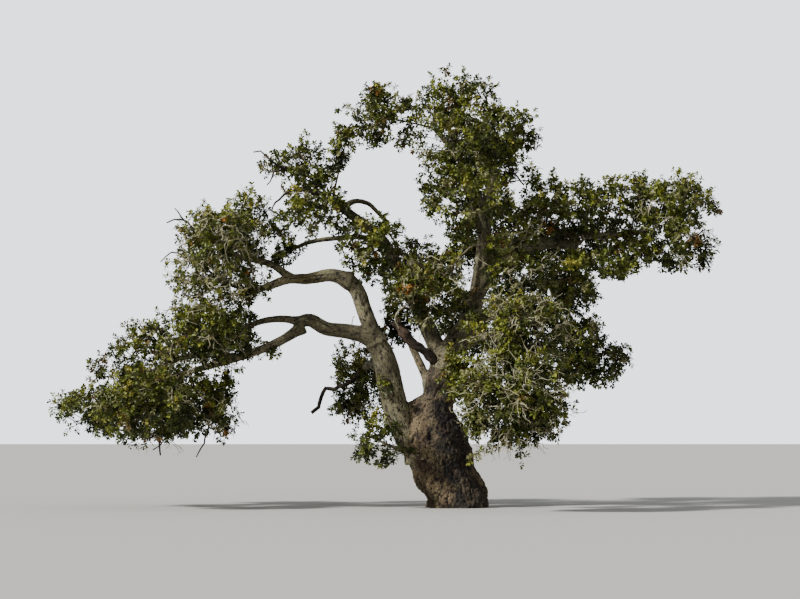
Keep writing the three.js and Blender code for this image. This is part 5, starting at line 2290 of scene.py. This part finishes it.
@dataclass
class DeadWood:
    """The broken, dead bough at the fork, and the bare dead twigs round the crown."""

    voxel: float = 0.013
    smooth_turns: int = 2
    ring_step: float = 0.03
    sides: int = 24
    foot: float = 0.125
    tip: float = 0.1
    knob: float = 0.035
    knob_at: float = 0.84
    knob_width: float = 0.09
    lump: float = 0.45
    lump_scale: float = 6.0
    lump_round: float = 0.8
    splinters: int = 7
    splinter_length: float = 0.3
    splinter_shortest: float = 0.35
    splinter_lean: float = 0.35
    splinter_ring: float = 0.6
    splinter_sunk: float = 0.1
    splinter_radii: Band = (0.05, 0.02)
    splinter_sides: int = 8
    plate: float = 0.04
    stretch: float = 0.15
    furrow: float = 0.02
    finish: BarkFinish = BarkFinish("dead_bark", plate="2b2119", plate_pale="624a36", lichen="463d33")
    twig_finish: TwigFinish = TwigFinish("dead_twig_bark", light="45392b", dark="1d1711")
    twig_sides: int = 7
    twig_kink: float = 0.45

    def radius_at(self, shares: np.ndarray, centres: np.ndarray) -> np.ndarray:
        """Give the bough's radius, with a knob before its broken end."""
        knob = self.knob * np.exp(-(((shares - self.knob_at) / self.knob_width) ** 2))
        return blend(self.foot, self.tip, shares) + knob

    def swell_at(self, centre: np.ndarray, angles: np.ndarray) -> np.ndarray:
        """Make the bough knotty.

        Args:
            centre: the middle of one ring.
            angles: the angles round it.

        Returns:
            What the radius is multiplied by at each angle.
        """
        middle = Vector(centre * self.lump_scale)
        lumps = [noise.noise(middle + Vector((math.cos(turn), math.sin(turn), 0)) * self.lump_round)
                 for turn in angles]
        return 1 + self.lump * np.array(lumps)

    def splinter_radius(self, shares: np.ndarray, centres: np.ndarray) -> np.ndarray:
        """Give a splinter's radius at some shares of its length."""
        return blend(*self.splinter_radii, shares)

    @staticmethod
    def even(centre: np.ndarray, angles: np.ndarray) -> np.ndarray:
        """Leave a splinter round."""
        return np.ones(len(angles))

    def build(self) -> None:
        """Make the broken bough and the dead twigs."""
        fine = np.random.default_rng(len(DEAD_TWIGS))
        self.build_snag(fine)
        bundle = TwigBundle()
        for twig in DEAD_TWIGS:
            row, radii = twig.row()
            row[1:] += fine.normal(0, twig.foot * self.twig_kink, (len(row) - 1, 3))
            bundle.add(row, radii)
        recipe = twig_recipe("dead", self.twig_finish.build(), self.twig_sides)
        finish_piece(recipe.make(bundle.mesh("dead_rows"), "dead_twigs"), "dead_wood")

    def build_snag(self, fine: np.random.Generator) -> None:
        """Make the broken bough, with splinters at its end.

        Args:
            fine: the row of random numbers.
        """
        curve = BOUGHS[SNAG].curve
        skin = Skin(self.voxel, self.smooth_turns, ring_step=self.ring_step)
        skin.add(curve, self.radius_at, self.swell_at, self.sides)
        end, run = curve.place(1), curve.run(1)
        side, rise = across_of(run)
        for turn in np.arange(self.splinters) * math.tau / self.splinters:
            out = math.cos(turn) * side + math.sin(turn) * rise
            foot = end + out * self.tip * self.splinter_ring
            length = self.splinter_length * fine.uniform(self.splinter_shortest, 1.0)
            point = foot + unit(run + out * self.splinter_lean) * length
            spike = LimbCurve([foot - run * self.splinter_sunk, foot, point])
            skin.add(spike, self.splinter_radius, self.even, self.splinter_sides)
        piece = skin.melt("snag")
        samples = LimbSamples()
        samples.add(SNAG, curve, self.radius_at)
        bark = samples.locate(piece.data)
        give(piece.data, "grain", np.column_stack([bark.around, bark.along * self.stretch]) / self.plate)
        give(piece.data, "furrow", np.full(len(bark.places), self.furrow))
        for name in ("age", "moss", "pit", "bare", "stain"):
            give(piece.data, name, np.zeros(len(bark.places)))
        recipe = bark_recipe(self.finish.build())
        finish_piece(recipe.make(piece.data, "dead_snag_wood"), "dead_wood", [SNAG])
        bpy.data.objects.remove(piece)


@dataclass
class Studio:
    """The floor, the light and the camera."""

    floor_size: float = 400.0
    floor_colour: str = "b9b7b0"
    sky_colour: str = "e8ebf0"
    sky_strength: float = 0.62
    sky_seen: float = 2.7
    sun_strength: float = 5.8
    sun_angle: float = 5.0
    sun_from: Place = (-0.78, -0.45, 0.66)
    camera_place: Place = (VIEW_X, -VIEW_DISTANCE, VIEW_Z)
    camera_aim: Place = (-1.4, 0.0, 5.19)
    lens: float = 108.0
    far_clip: float = 1000.0
    floor_roughness: float = 0.95
    floor_shine: float = 0.1

    def build(self) -> None:
        """Set up the floor, the world, the sun and the camera."""
        half = self.floor_size / 2
        corners = np.array([(-half, -half, 0), (half, -half, 0), (half, half, 0), (-half, half, 0)])
        floor = link(bpy.data.objects.new("floor", mesh_of("floor", corners, (), [(0, 1, 2, 3)])))
        bench = ShaderBench("pale_floor")
        bench.set(Base_Color=paint(self.floor_colour), Roughness=self.floor_roughness,
                  Specular_IOR_Level=self.floor_shine)
        floor.data.materials.append(bench.material)
        floor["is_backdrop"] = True
        world = bpy.data.worlds.new("pale_sky")
        world.use_nodes = True
        bench = Bench(world.node_tree)
        seen = bench.add("ShaderNodeLightPath").outputs["Is Camera Ray"]
        strength = bench.step(seen, (0.0, 1.0), (self.sky_strength, self.sky_seen))
        background = world.node_tree.nodes["Background"]
        background.inputs["Color"].default_value = paint(self.sky_colour)
        world.node_tree.links.new(strength, background.inputs["Strength"])
        bpy.context.scene.world = world
        light = bpy.data.lights.new("sun", "SUN")
        light.energy, light.angle = self.sun_strength, math.radians(self.sun_angle)
        sun = link(bpy.data.objects.new("sun", light))
        sun.rotation_euler = Vector(self.sun_from).to_track_quat("Z", "Y").to_euler()
        camera = bpy.data.cameras.new("camera")
        camera.lens, camera.clip_end = self.lens, self.far_clip
        holder = link(bpy.data.objects.new("camera", camera))
        holder.location = self.camera_place
        aim = Vector(self.camera_aim) - Vector(self.camera_place)
        holder.rotation_euler = aim.to_track_quat("-Z", "Y").to_euler()
        bpy.context.scene.camera = holder


def main() -> None:
    """Build the tree and its studio."""
    Studio().build()
    Timber().build()
    DeadWood().build()
    Crown().build()


if __name__ == "__main__":
    logging.basicConfig(level=logging.INFO, format="%(message)s", stream=sys.stdout)
    main()
    boxes = {"cad": CAD_BOX, "visual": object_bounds()}
    {name: [list(corner) for corner in box] for name, box in boxes.items()}
